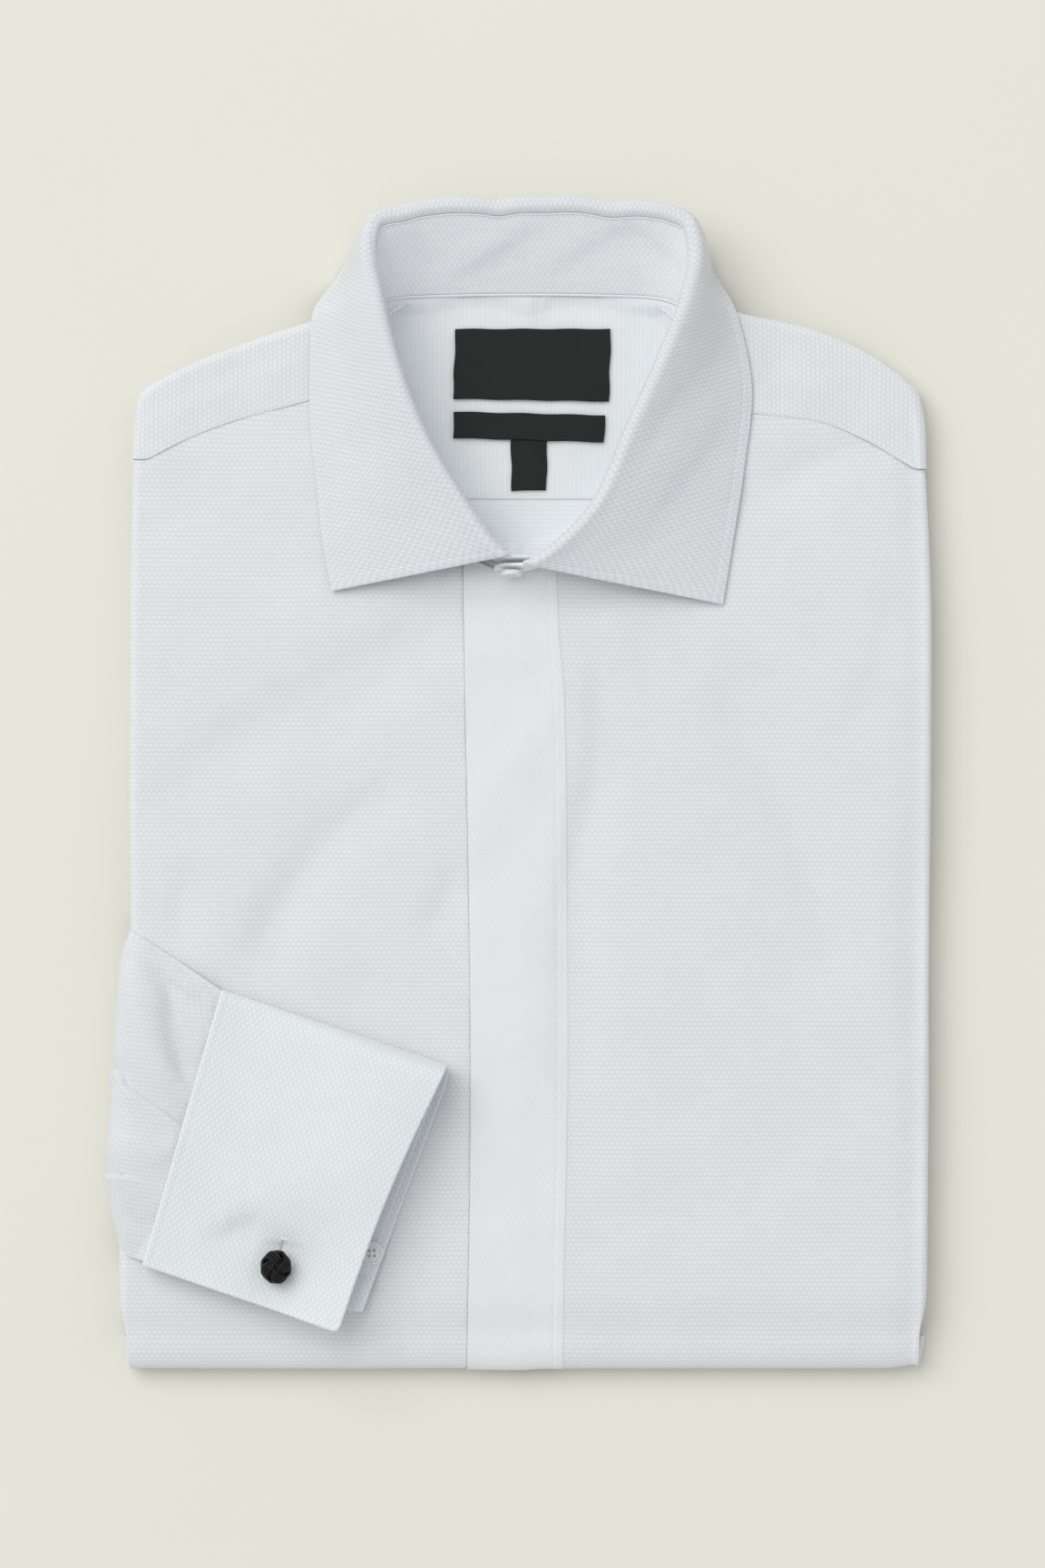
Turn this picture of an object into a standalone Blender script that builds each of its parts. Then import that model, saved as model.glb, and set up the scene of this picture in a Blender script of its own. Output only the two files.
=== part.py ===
"""A long sleeve dress shirt, folded flat and lying on its back.

The shirt is folded to a packet about 300 mm wide: its sides and sleeves go behind, the tail is folded
up behind them, and the right sleeve comes round the left edge onto the front, where its French cuff is
closed by a silk knot. What shows is built piece by piece as a wall of cloth. What is hidden inside the
packet is one solid, layered at its edges.

Sizes are in millimetres and are turned to metres where a mesh is made. +X is to the right of the front,
+Y is towards the collar, +Z is up, and z = 0 is the surface that the shirt lies on.
"""

import math

import bmesh
import bpy
import numpy as np
from mathutils import Vector

MM = 0.001
SMALL = 1e-3  # step along a table that a slope is read over

# The packet
HEIGHT = 15.0  # full height over the folded layers
HALF = HEIGHT / 2
SIDE_RADIUS = 3.4  # of the fold at each side of the upper layers
SIDE_WRAP = 9.8  # cloth that goes round a side fold, measured along it
ROLL_START = -206.5  # y where the bottom fold leaves the flat
ROLL_REACH = 12.0  # how far the bottom fold reaches past that
ROLL_RADIUS = 10.0  # mean radius of the bottom fold, which is wider than it is high
SHOULDER_SHARE = 0.76  # height at the shoulders over the full height
NECK_SHARE = 0.40  # height at the back of the neck over the full height

# Cloth
WALL = 1.2
COLLAR_WALL = 1.6  # two plies and an interlining
CUFF_WALL = 1.8  # four plies
LABEL_WALL = 1.0
GAP = 0.3  # between pieces that touch
CORE_SINK = 0.25  # extra clearance of the hidden layers under the panels
CORE_INSET = 1.2  # of the hidden layers' upper half from the side folds' centre lines

# Neck
NECK_CENTRE = (4.0, 130.0)
INNER_TOP = 4.4  # height of the inner yoke's upper face
WELL_MARGIN = 20.0  # how far past the neck seam the hidden layers start to go down
WELL_SLOPE = 9.0  # over which they do
FOLD_RADIUS = 2.5  # of the collar's fold, to the middle of its wall
LEAF_SEAM = 2.2  # how far the leaf goes down inside the fold to its seam with the stand
LEAF_INSIDE = 0.1  # share of the leaf's rows inside the fold
LEAF_ROUND = 0.4  # share of its rows up to the end of the fold's round
LEAF_REST = 1.6  # middle of the leaf's wall over what its edge lies on

# Centre front
HEM_ROWS = 6 / 27  # share of a front's rows that go round the bottom fold
SIDE_COLUMNS = 4 / 20  # share of its columns that go round its side fold
HEM_PULL = 1.6  # how soon above the bottom fold a front's columns take their upper spacing
PLACKET_ROWS = 6 / 25  # share of the placket's rows that go round the bottom fold
PLACKET_TOP = 79.0
PLACKET_RISE = 5.0  # half of this is how much higher the top is at the left front, along the neck seam
PLACKET_LIFT = 1.75  # outer face over the right front
PLACKET_STEP = 1.0  # x where it starts to come down to the left front
PLACKET_SLOPE = 14.0  # over which it does
PLACKET_TURN = 0.66  # of the bottom fold that the placket goes round
UNDERLAP = 2.5  # how far the right front goes under the placket, left of the centre line

# Knot and buttons
KNOT = (-89.9, -178.9)
KNOT_RADIUS = 6.25
KNOT_HOLLOW = 0.8  # by which the hidden layers give way under the knot
KNOT_HOLLOW_REACH = 25.0
KNOT_STRAND = 0.035  # how far its strands stand out, over its radius
KNOT_HEIGHT = 9.6
UNDER_KNOT_HEIGHT = 5.4
CORD_RADIUS = 1.4
BUTTON_RADIUS = 4.2
BUTTON_HEIGHT = 2.0
HOLE_RADIUS = 0.6  # of a button's four holes
NECK_BUTTON_ROW = 17.33  # along the collar's rows
NECK_BUTTON_UP = 0.66  # up the stand
CUFF_BUTTON = (-54.6, -174.4)
CUFF_BUTTON_RADIUS = 4.5
CUFF_BUTTON_HEIGHT = 1.6


UPWARD = (0.0, 0.0, 1.0)
UP = np.array(UPWARD)[:, None]


def point(x, y):
    """A plan position as a column, so that it blends with rows of numbers."""
    return np.array([[x], [y]])


def table(columns, *rows):
    """Rows of numbers as one array for each named column."""
    return dict(zip(columns.split(), np.array(rows, float).T))


LEFT_EDGE = table(
    "y x",
    (-219.5, -148.4),
    (-205, -149.2),
    (-174, -149.2),
    (-110, -147.0),
    (-54, -144.8),
    (-10, -145.4),
    (56, -145.1),
    (118, -144.4),
    (147, -143.4),
)

RIGHT_EDGE = table(
    "y x",
    (-219.5, 152.8),
    (-130, 153.7),
    (-46, 154.2),
    (56, 154.9),
    (117, 153.2),
    (145, 152.5),
)

SHOULDER = table(
    "x y",
    (-143.4, 147.4),
    (-132, 154.4),
    (-95.3, 168),
    (-74.2, 174.7),
    (-50, 183.4),
    (-25, 188.3),
    (5, 189.2),
    (35, 188.6),
    (60, 184.4),
    (84.4, 176.4),
    (111.5, 169.6),
    (127, 162.6),
    (145.4, 152.8),
    (152.5, 145.3),
)

# Soft troughs pressed into the front, from end to end. A negative depth is a raised place.
TROUGHS = table(
    "x0 y0 x1 y1 width depth",
    (-73.9, -13.4, -95.6, -59.2, 13, 1.1),
    (-40.3, 51.4, -70.8, 11.4, 12, 0.9),
    (-113.9, -50.0, -118.0, -62.0, 16, -0.8),
    (76.6, 20.5, 113.2, -62.5, 15, 1.1),
    (45.8, 41.9, 51.9, 23.6, 11, 0.7),
    (21.0, -13.4, 27.5, -105.3, 9, 0.7),
    (87.8, 108.6, 110.8, 123.6, 10, 0.8),
    (-90.2, -179.5, -90.2, -179.4, 16, 3.2),
)

# Each front's upper edge from its side fold to centre front, and where that column meets the bottom fold.
RIGHT_FRONT = table(
    "x y hem_x",
    (-141.0, 121.4, -145.8),
    (-125.8, 128.6, -128.0),
    (-108.8, 135.4, -110.0),
    (-78.3, 143.8, -84.0),
    (-58.0, 148.6, -60.0),
    (-50.2, 143.0, -44.0),
    (-38.5, 120.8, -30.0),
    (-23.0, 98.8, -16.0),
    (-UNDERLAP, 83.0, -UNDERLAP),
)

LEFT_FRONT = table(
    "x y hem_x",
    (149.8, 117.8, 147.8),
    (128.5, 130.0, 130.0),
    (111.5, 136.1, 112.0),
    (87.8, 138.7, 90.0),
    (65.0, 143.6, 68.0),
    (57.6, 141.5, 52.0),
    (47.0, 121.6, 40.0),
    (30.6, 97.4, 29.0),
    (14.9, 83.2, 17.7),
)

PLACKET_EDGE = table("y x", (-240, -19.0), (-113, -17.3), (74, -20.0))

# The outer yoke: its seam to the fronts and round the neck, and the shoulder fold across from it.
YOKE = table(
    "seam_x seam_y rim_x rim_y",
    (-138.4, 122.9, -141.0, 121.9),
    (-134.0, 125.2, -140.4, 134.0),
    (-125.8, 129.2, -139.0, 143.6),
    (-108.8, 136.0, -124.0, 153.4),
    (-78.3, 144.4, -96.0, 164.3),
    (-58.6, 149.8, -78.0, 170.1),
    (-54.2, 158.0, -66.0, 174.0),
    (-52.2, 168.0, -58.0, 177.0),
    (-46.0, 177.2, -49.0, 180.4),
    (-33.0, 181.6, -33.0, 183.8),
    (4.0, 183.4, 4.0, 185.7),
    (42.0, 181.6, 42.0, 184.2),
    (55.0, 177.0, 57.0, 181.7),
    (61.6, 166.0, 66.0, 179.4),
    (63.6, 155.0, 74.0, 176.5),
    (66.0, 145.4, 84.0, 173.2),
    (87.8, 139.6, 108.0, 168.0),
    (111.5, 136.7, 134.0, 156.2),
    (128.5, 130.6, 148.0, 142.4),
    (142.0, 122.9, 149.4, 131.0),
    (147.4, 119.8, 149.8, 118.3),
)

# What shows of the shirt's inside through the neck, row by row.
INNER_YOKE = table(
    "y left right",
    (183.6, -30, 42),
    (181, -43, 53),
    (174, -52, 60),
    (160, -56, 65),
    (146, -53, 62),
    (122, -43, 51),
    (107.9, -34, 42),
)
INNER_BACK = table("y left right", (107.5, -34, 42), (97, -27, 34), (84, -12, 18))

# The labels sewn to the inner yoke, each from its lower left corner round.
LABELS = {
    "label_main": ((-24.4, 144.9), (34.2, 143.9), (34.9, 171.2), (-23.4, 171.2)),
    "label_fit": ((-24.4, 130.2), (32.2, 128.6), (32.9, 138.8), (-24.0, 140.2)),
    "label_size": ((-2.0, 110.3), (10.5, 110.8), (10.8, 128.4), (-2.4, 128.6)),
}

# The collar, from the stand's under end at centre front round the back to its over end. The fold is the
# collar's crest in plan, the base is the neck seam, away is the way the leaf falls (degrees in plan),
# and under is 1 where the leaf falls to the table and turns in under the neck.
COLLAR = table(
    "fold_x fold_y fold_z base_x base_y away edge_x edge_y under lie",
    (9.0, 86.2, 24.5, 9.5, 83.7, 192, -69.5, 72.4, 0, -11),
    (-2.6, 86.0, 30.0, -3.6, 83.0, 192, -69.5, 72.4, 0, -11),
    (-21.5, 109.0, 33.0, -25.5, 97.5, 200, -72.8, 90.0, 0, -11),
    (-35.0, 132.5, 35.0, -41.5, 120.5, 203, -75.5, 115.0, 0, -11),
    (-44.8, 158.5, 36.0, -53.5, 146.5, 206, -77.9, 142.0, 0, -11),
    (-50.5, 182.0, 35.5, -56.5, 163.0, 200, -77.4, 172.4, 0, -11),
    (-53.2, 198.0, 34.5, -56.0, 175.5, 176, -69.8, 188.5, 0.5, -6),
    (-51.0, 208.0, 33.0, -49.5, 182.0, 135, -60.0, 198.0, 0.8, 3),
    (-36.0, 212.2, 31.0, -36.0, 183.9, 97, -40.0, 195.0, 1, 17),
    (4.0, 213.4, 29.5, 4.0, 184.6, 90, 4.0, 193.5, 1, 19),
    (46.0, 212.0, 31.0, 45.0, 183.9, 83, 50.0, 195.0, 1, 17),
    (61.5, 207.0, 33.0, 58.5, 181.2, 45, 70.0, 198.0, 0.8, 3),
    (63.6, 196.0, 34.5, 64.8, 172.2, 5, 75.6, 189.5, 0.5, -6),
    (60.8, 182.0, 35.5, 65.2, 160.0, -18, 82.6, 174.0, 0, -11),
    (51.5, 157.8, 36.0, 60.5, 144.0, -18, 87.6, 146.0, 0, -11),
    (40.8, 134.1, 35.0, 49.5, 121.0, -20, 84.6, 118.0, 0, -11),
    (26.8, 103.6, 33.0, 32.5, 96.0, -11, 80.8, 93.0, 0, -11),
    (1.8, 82.2, 30.0, 1.8, 80.3, -13, 76.6, 67.3, 0, -11),
    (-9.0, 82.0, 26.0, -9.0, 80.6, -13, 76.6, 67.3, 0, -11),
)

# Cuff corners in plan: sleeve side and mouth, at the fold and at the open edges
CUFF_FOLD_SLEEVE = point(-110.5, -76.1)
CUFF_FOLD_MOUTH = point(-25.8, -103.9)
CUFF_EDGE_MOUTH = point(-66.7, -203.3)
CUFF_EDGE_SLEEVE = point(-140.0, -178.8)
CUFF_UNDER_FOLD_MOUTH = point(-24.6, -106.0)
CUFF_UNDER_EDGE_MOUTH = point(-58.6, -198.0)
CUFF_BOW = 2.0  # how far the upper half's mouth curves in
CUFF_GAPE = 10.0  # how much more the upper half stands off, away from the knot
KNOT_HOLD = 23.0  # how far from the knot the halves are held together

# How the leaf falls between its fold and its edge: the two points that its curve leans to, where it lies
# on the front and where it turns in under the neck.
LEAF_FALL = (
    ("hang_out", 8.0, 1.0),
    ("hang_up", -4.5, -14.0),
    ("lie_up", 4.0, 0.4),
)

# The cuff's section from the under half's open edge, round its fold, to the upper half's open edge.
CUFF_SECTION = table(
    "across lift",
    (0.985, 5.5),
    (0.89, 5.2),
    (0.8, 3.0),
    (0.66, 1.9),
    (0.45, 1.5),
    (0.25, 1.5),
    (0.08, 1.5),
    (0.024, 2.3),
    (0.008, 4.2),
    (0.026, 6.4),
    (0.09, 7.4),
    (0.3, 7.8),
    (0.55, 7.9),
    (0.78, 8.0),
    (1.0, 8.3),
)

CUFF_TURN = 0.62  # share of the section up to which the under half's mouth counts
CUFF_TURN_REACH = 0.2

# The sleeve's folds along its length: under the packet, at the left edge and at the cuff.
SLEEVE_EDGES = table(
    "upper_x upper_y lower_x lower_y",
    (-156.0, -60.0, -156.0, -168.0),
    (-144.5, -55.2, -146.5, -172.6),
    (-142.0, -56.4, -145.4, -175.2),
    (-111.3, -76.9, -140.7, -178.0),
)
SLEEVE_NEAR = 0.65  # inner layer's clearance over the packet
# Outer face of the sleeve over the packet, across it from its lower to its upper fold.
SLEEVE_LOFT = table(
    "across lift",
    (-1.0, 1.7),
    (-0.8, 4.4),
    (-0.45, 6.6),
    (-0.1, 6.2),
    (0.1, 5.4),
    (0.25, 6.2),
    (0.6, 5.7),
    (0.9, 4.0),
    (1.0, 1.7),
)

# How the hidden layers step in at the packet's edges: past the outline, and up from the table.
EDGE_LAYERS = table("out z", (1.0, 0), (2.7, 0.9), (3.4, 3.3), (2.7, 5.7), (0.7, 6.8), (-1.2, 7.3))
SLEEVE_RECESS = table("out z", (-10, 0), (-10, 2), (-10, 4), (-10, 6), (-10, 8.3), (-1.2, 8.6))
CORE_COLUMNS = 27
CORE_ROWS = 25
CORE_ROW_BIAS = 0.85  # spaces the rows closer towards the neck
CORE_HEM_ROWS = (0.005, 0.0112)  # extra rows just over the bottom fold
ROLL_END = 4.0  # how far over the bottom fold the sides are cut straight, inside the fronts' hems
RECESS_TOP = -50.0
RECESS_BOTTOM = -178.0
ROLL_TURNS = np.radians([180, 180, 145, 110, 75, 38])


def blend(a, b, share):
    return a + (b - a) * share


def ease(t):
    """0 to 1 with a flat start and end."""
    t = np.clip(t, 0, 1)
    return t * t * (3 - 2 * t)


def spline(at, knots, values):
    """A smooth curve through values at rising knots, which never overshoots them."""
    steps = np.diff(values) / np.diff(knots)
    product = steps[:-1] * steps[1:]
    total = np.where(product > 0, steps[:-1] + steps[1:], 1)
    inner = np.where(product > 0, 2 * product / total, 0)
    slopes = np.concatenate([steps[:1], inner, steps[-1:]])
    i = np.clip(np.searchsorted(knots, at, side="right") - 1, 0, len(knots) - 2)
    span = knots[i + 1] - knots[i]
    s = np.clip((at - knots[i]) / span, 0, 1)
    start = values[i] * (1 + 2 * s) * (1 - s) ** 2 + slopes[i] * span * s * (1 - s) ** 2
    end = values[i + 1] * s**2 * (3 - 2 * s) + slopes[i + 1] * span * s**2 * (s - 1)
    return start + end


def row(rows, column, share):
    """A column read smoothly along its rows, with share from 0 at the first row to 1 at the last."""
    values = rows[column]
    return spline(np.asarray(share) * (len(values) - 1), np.arange(len(values)), values)


def left_fold(y):
    return spline(y, LEFT_EDGE["y"], LEFT_EDGE["x"]) + SIDE_RADIUS


def right_fold(y):
    return spline(y, RIGHT_EDGE["y"], RIGHT_EDGE["x"]) - SIDE_RADIUS


def height_share(x, y):
    """The packet's height there over its full height: lower at the shoulders, lowest at the neck's back."""
    share = blend(1, SHOULDER_SHARE, ease((y - 40) / 110))
    dip = ease((62 - np.abs(x - 5)) / 24) * ease((y - 152) / 30)
    return blend(share, NECK_SHARE, dip)


def trough_depth(x, y):
    """How far the troughs press the surface down: a soft round valley along each line."""
    total = np.zeros(np.broadcast(x, y).shape)
    for x0, y0, x1, y1, width, depth in zip(*TROUGHS.values()):
        along = ((x - x0) * (x1 - x0) + (y - y0) * (y1 - y0)) / ((x1 - x0) ** 2 + (y1 - y0) ** 2)
        along = np.clip(along, 0, 1)
        away = np.hypot(x - blend(x0, x1, along), y - blend(y0, y1, along))
        total += depth * np.exp(-((away / width) ** 2))
    return total


def settle(x, y, z):
    """The packet's even layers pressed to their real height."""
    return x, y, z * height_share(x, y) - trough_depth(x, y) * z / HEIGHT


def skin(px, py, lift=0.0):
    """A point of the cloth that covers the packet, lift over it.

    px and py are the plan position. Past a side fold px goes round the fold, and past ROLL_START py
    goes round the bottom fold, both measured along the cloth.
    """
    left, right = left_fold(py), right_fold(py)
    side = np.where(px < (left + right) / 2, -1, 1)
    past = np.maximum(left - px, 0) + np.maximum(px - right, 0)
    turn = np.minimum(past / SIDE_RADIUS, math.pi)
    tuck = np.maximum(past - math.pi * SIDE_RADIUS, 0)
    x = np.clip(px, left, right) + side * ((SIDE_RADIUS + lift) * np.sin(turn) - tuck)
    reach = HALF - SIDE_RADIUS + (SIDE_RADIUS + lift) * np.cos(turn)
    roll = np.clip((ROLL_START - py) / ROLL_RADIUS, 0, math.pi)
    depth = (reach - lift) * ROLL_REACH / HALF + lift
    y = np.maximum(py, ROLL_START) - depth * np.sin(roll)
    return settle(x, y, HALF + reach * np.cos(roll))


def top(x, y):
    """Height of the covering cloth in plan."""
    return settle(x, y, np.full(np.broadcast(x, y).shape, HEIGHT))[2]


def front(u, v, rows, sign):
    """A front: u runs from its side fold's far side to centre front, v from under the hem up."""
    wrap = SIDE_WRAP * np.clip(1 - u / SIDE_COLUMNS, 0, 1)
    across = np.clip((u - SIDE_COLUMNS) / (1 - SIDE_COLUMNS), 0, 1)
    up = np.clip((v - HEM_ROWS) / (1 - HEM_ROWS), 0, 1)
    roll = math.pi * ROLL_RADIUS * np.clip(1 - v / HEM_ROWS, 0, 1)
    py = blend(ROLL_START, row(rows, "y", across), up) - roll
    fold = left_fold(py) if sign < 0 else right_fold(py)
    px = blend(row(rows, "hem_x", across), row(rows, "x", across), ease(up * HEM_PULL))
    start = blend(rows["hem_x"][0], rows["x"][0], ease(up * HEM_PULL))
    px = px + (fold - start) * (1 - across)
    return skin(px + sign * wrap, py)


def right_front(u, v):
    return front(u, v, RIGHT_FRONT, -1)


def left_front(u, v):
    return front(1 - u, v, LEFT_FRONT, 1)


def placket(u, v):
    """The fly strip: it lies over the right front, and comes down to the left front's seam."""
    up = np.clip((v - PLACKET_ROWS) / (1 - PLACKET_ROWS), 0, 1)
    roll = PLACKET_TURN * math.pi * ROLL_RADIUS * np.clip(1 - v / PLACKET_ROWS, 0, 1)
    py = blend(ROLL_START, PLACKET_TOP + PLACKET_RISE * ease((u - 0.7) / 0.6), up) - roll
    left = spline(py, PLACKET_EDGE["y"], PLACKET_EDGE["x"])
    right = blend(LEFT_FRONT["hem_x"][-1], LEFT_FRONT["x"][-1], ease(up * HEM_PULL)) - GAP
    px = blend(left, right, u)
    lift = PLACKET_LIFT * (1 - ease((px - PLACKET_STEP) / PLACKET_SLOPE)) + GAP / 2
    return skin(px, py, lift)


def outer_yoke(u, v):
    """The yoke: v runs from its seam to the shoulder fold, then round the fold."""
    seam_x, seam_y = row(YOKE, "seam_x", u), row(YOKE, "seam_y", u)
    rim_x, rim_y = row(YOKE, "rim_x", u), row(YOKE, "rim_y", u)
    after, before = np.minimum(u + SMALL, 1), np.maximum(u - SMALL, 0)
    dx = row(YOKE, "rim_x", after) - row(YOKE, "rim_x", before)
    dy = row(YOKE, "rim_y", after) - row(YOKE, "rim_y", before)
    length = np.hypot(dx, dy)
    flat = np.clip(v / 0.5, 0, 1)
    turn = SIDE_WRAP / SIDE_RADIUS * np.clip(v / 0.5 - 1, 0, 1)
    x = blend(seam_x, rim_x, flat) - dy / length * SIDE_RADIUS * np.sin(turn)
    y = blend(seam_y, rim_y, flat) + dx / length * SIDE_RADIUS * np.sin(turn)
    return settle(x, y, HEIGHT - SIDE_RADIUS + SIDE_RADIUS * np.cos(turn))


def inner_panel(rows):
    """A piece of the shirt's inside, seen through the neck: rows across from its lower edge up."""

    def shape(u, v):
        y = row(rows, "y", 1 - v)
        x = blend(row(rows, "left", 1 - v), row(rows, "right", 1 - v), u)
        return x, y, np.full(x.shape, INNER_TOP)

    return shape


def collar_fold(u):
    """The fold at u round the collar: the neck seam below it, the way out, and the fold's round.

    The round starts in line with the stand, at the angle start, and ends at angle 0, facing out.
    """
    away = np.radians(row(COLLAR, "away", u))
    base_x, base_y = row(COLLAR, "base_x", u), row(COLLAR, "base_y", u)
    base = np.stack([base_x, base_y, top(base_x, base_y) + GAP + COLLAR_WALL / 2])
    out = np.stack([np.cos(away), np.sin(away), 0 * away])
    crest = np.stack([row(COLLAR, "fold_x", u), row(COLLAR, "fold_y", u), row(COLLAR, "fold_z", u)])
    centre = crest + FOLD_RADIUS * (out - UP)
    rise = centre - base
    start = math.pi / 2 + np.arctan2(rise[2], (rise * out).sum(axis=0))
    return base, out, centre, start


def collar_seam(u):
    """Where the round starts, and the unit direction in which the stand comes up to it."""
    base, out, centre, start = collar_fold(u)
    begin = centre + FOLD_RADIUS * (out * np.cos(start) + UP * np.sin(start))
    along = begin - base
    return begin, along / np.linalg.norm(along, axis=0)


def collar_stand(u, v):
    """The stand: v runs from the neck seam to the seam with the leaf, inside the fold."""
    begin, along = collar_seam(u)
    return tuple(blend(collar_fold(u)[0], begin - along * (LEAF_SEAM + 2 * GAP), v))


def leaf_edge_height():
    """Height of the leaf's edge at each row of the collar's table."""
    carried = top(COLLAR["edge_x"], COLLAR["edge_y"])
    return LEAF_REST + np.where(COLLAR["under"] < 0.25, carried, 0)


def collar_leaf(u, v):
    """The leaf: v runs from its seam with the stand, round the fold and down to its free edge."""
    last = len(COLLAR["under"]) - 1
    u = blend(1 / last, 1 - 1 / last, u)
    under = row(COLLAR, "under", u)
    base, out, centre, start = collar_fold(u)
    begin, along = collar_seam(u)
    edge_z = spline(u * last, np.arange(last + 1), leaf_edge_height())
    edge = np.stack([row(COLLAR, "edge_x", u), row(COLLAR, "edge_y", u), edge_z])

    sunk = LEAF_SEAM * np.clip(1 - v / LEAF_INSIDE, 0, 1)
    shape = {name: blend(at_side, at_back, under) for name, at_side, at_back in LEAF_FALL}
    last = np.arctan2(shape["hang_out"], -shape["hang_up"])
    angle = blend(start, last, np.clip((v - LEAF_INSIDE) / (LEAF_ROUND - LEAF_INSIDE), 0, 1))
    rolled = centre + FOLD_RADIUS * (out * np.cos(angle) + UP * np.sin(angle)) - along * sunk
    shoulder = centre + FOLD_RADIUS * (out * np.cos(last) + UP * np.sin(last))
    hang = shoulder + out * shape["hang_out"] + UP * shape["hang_up"]
    lie = edge + out * row(COLLAR, "lie", u) + UP * shape["lie_up"]
    t = np.clip((v - LEAF_ROUND) / (1 - LEAF_ROUND), 0, 1)
    fall = shoulder * (1 - t) ** 3 + 3 * hang * t * (1 - t) ** 2 + 3 * lie * t**2 * (1 - t) + edge * t**3
    return tuple(np.where(v < LEAF_ROUND, rolled, fall))


def cuff_point(along, across, under):
    """Plan position on the cuff: along from sleeve to mouth, across from its fold to its open edges."""
    fold_mouth = blend(CUFF_FOLD_MOUTH, CUFF_UNDER_FOLD_MOUTH, under)
    edge_mouth = blend(CUFF_EDGE_MOUTH, CUFF_UNDER_EDGE_MOUTH, under)
    fold = blend(CUFF_FOLD_SLEEVE, fold_mouth, along)
    edge = blend(CUFF_EDGE_SLEEVE, edge_mouth, along)
    bowed = blend(fold, edge, across)
    inward = CUFF_EDGE_SLEEVE - CUFF_EDGE_MOUTH
    inward = inward / np.hypot(*inward)
    return bowed + inward * CUFF_BOW * np.sin(math.pi * across) * along * (1 - under)


def cuff(u, v):
    """The cuff, folded flat: v goes from the under half's edge round the fold to the upper half's edge."""
    under = ease((CUFF_TURN - v) / CUFF_TURN_REACH)
    x, y = cuff_point(u, row(CUFF_SECTION, "across", v), under)
    level = blend(top(x, y) + trough_depth(x, y), HEIGHT, 0.5)
    held = np.exp(-((x - KNOT[0]) ** 2 + (y - KNOT[1]) ** 2) / KNOT_HOLD**2)
    gape = CUFF_GAPE * ease((u - 0.1) / 0.85) * ease((v - 0.5) / 0.2) * (1 - held)
    return x, y, level + row(CUFF_SECTION, "lift", v) + gape


def sleeve(u, v):
    """The sleeve, a flat tube: u from under the packet to the cuff, v round it from its lower fold."""
    outer = v < 0.5
    across = np.where(outer, 4 * v - 1, 3 - 4 * v)
    share = (across + 1) / 2
    px = blend(row(SLEEVE_EDGES, "lower_x", u), row(SLEEVE_EDGES, "upper_x", u), share)
    py = blend(row(SLEEVE_EDGES, "lower_y", u), row(SLEEVE_EDGES, "upper_y", u), share)
    loft = spline(across, SLEEVE_LOFT["across"], SLEEVE_LOFT["lift"]) - WALL / 2
    near = SLEEVE_NEAR + WALL / 2
    return skin(px, py, np.where(outer, loft, near))


def clear_collections(name):
    for item in list(bpy.data.objects):
        bpy.data.objects.remove(item)
    garment = bpy.data.collections.new(name)
    cutters = bpy.data.collections.new("cutters")
    for group in (garment, cutters):
        bpy.context.scene.collection.children.link(group)
    return garment, cutters


def material(name, colour, roughness, metallic=0.0):
    made = bpy.data.materials.new(name)
    made.use_nodes = True
    shader = made.node_tree.nodes["Principled BSDF"]
    shader.inputs["Base Color"].default_value = (*colour, 1)
    shader.inputs["Roughness"].default_value = roughness
    shader.inputs["Metallic"].default_value = metallic
    return made


def place(name, bm, finish, group):
    mesh = bpy.data.meshes.new(name)
    bm.to_mesh(mesh)
    bm.free()
    made = bpy.data.objects.new(name, mesh)
    mesh.materials.append(finish)
    group.objects.link(made)
    return made


def sheet(name, shape, columns, rows, wall, side, finish, group):
    """A grid bent by shape(u, v) and given a wall on one side of it (-1 below, 1 above, 0 both)."""
    bm = bmesh.new()
    bmesh.ops.create_grid(bm, x_segments=columns, y_segments=rows, size=0.5)
    made = place(name, bm, finish, group)
    flat = np.empty(len(made.data.vertices) * 3)
    made.data.vertices.foreach_get("co", flat)
    u, v = np.clip(flat.reshape(-1, 3)[:, :2].T + 0.5, 0, 1)
    points = np.stack(shape(u, v), axis=1) * MM
    made.data.vertices.foreach_set("co", points.ravel())
    made.data.shade_smooth()
    weld = made.modifiers.new("Weld", "WELD")
    weld.merge_threshold = 0.00002
    thicken = made.modifiers.new("Wall", "SOLIDIFY")
    thicken.thickness = wall * MM
    thicken.offset = side
    return made


def core_outline(u, v):
    """The hidden layers in plan: u from left to right, v from the bottom fold to the shoulders."""
    top_x = blend(LEFT_EDGE["x"][-1], RIGHT_EDGE["x"][-1], u)
    top_y = spline(top_x, SHOULDER["x"], SHOULDER["y"]) - SIDE_RADIUS - CORE_INSET
    y = blend(ROLL_START, top_y, v)
    x = blend(left_fold(y) + CORE_INSET, right_fold(y) - CORE_INSET, u)
    return x, y


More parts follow.
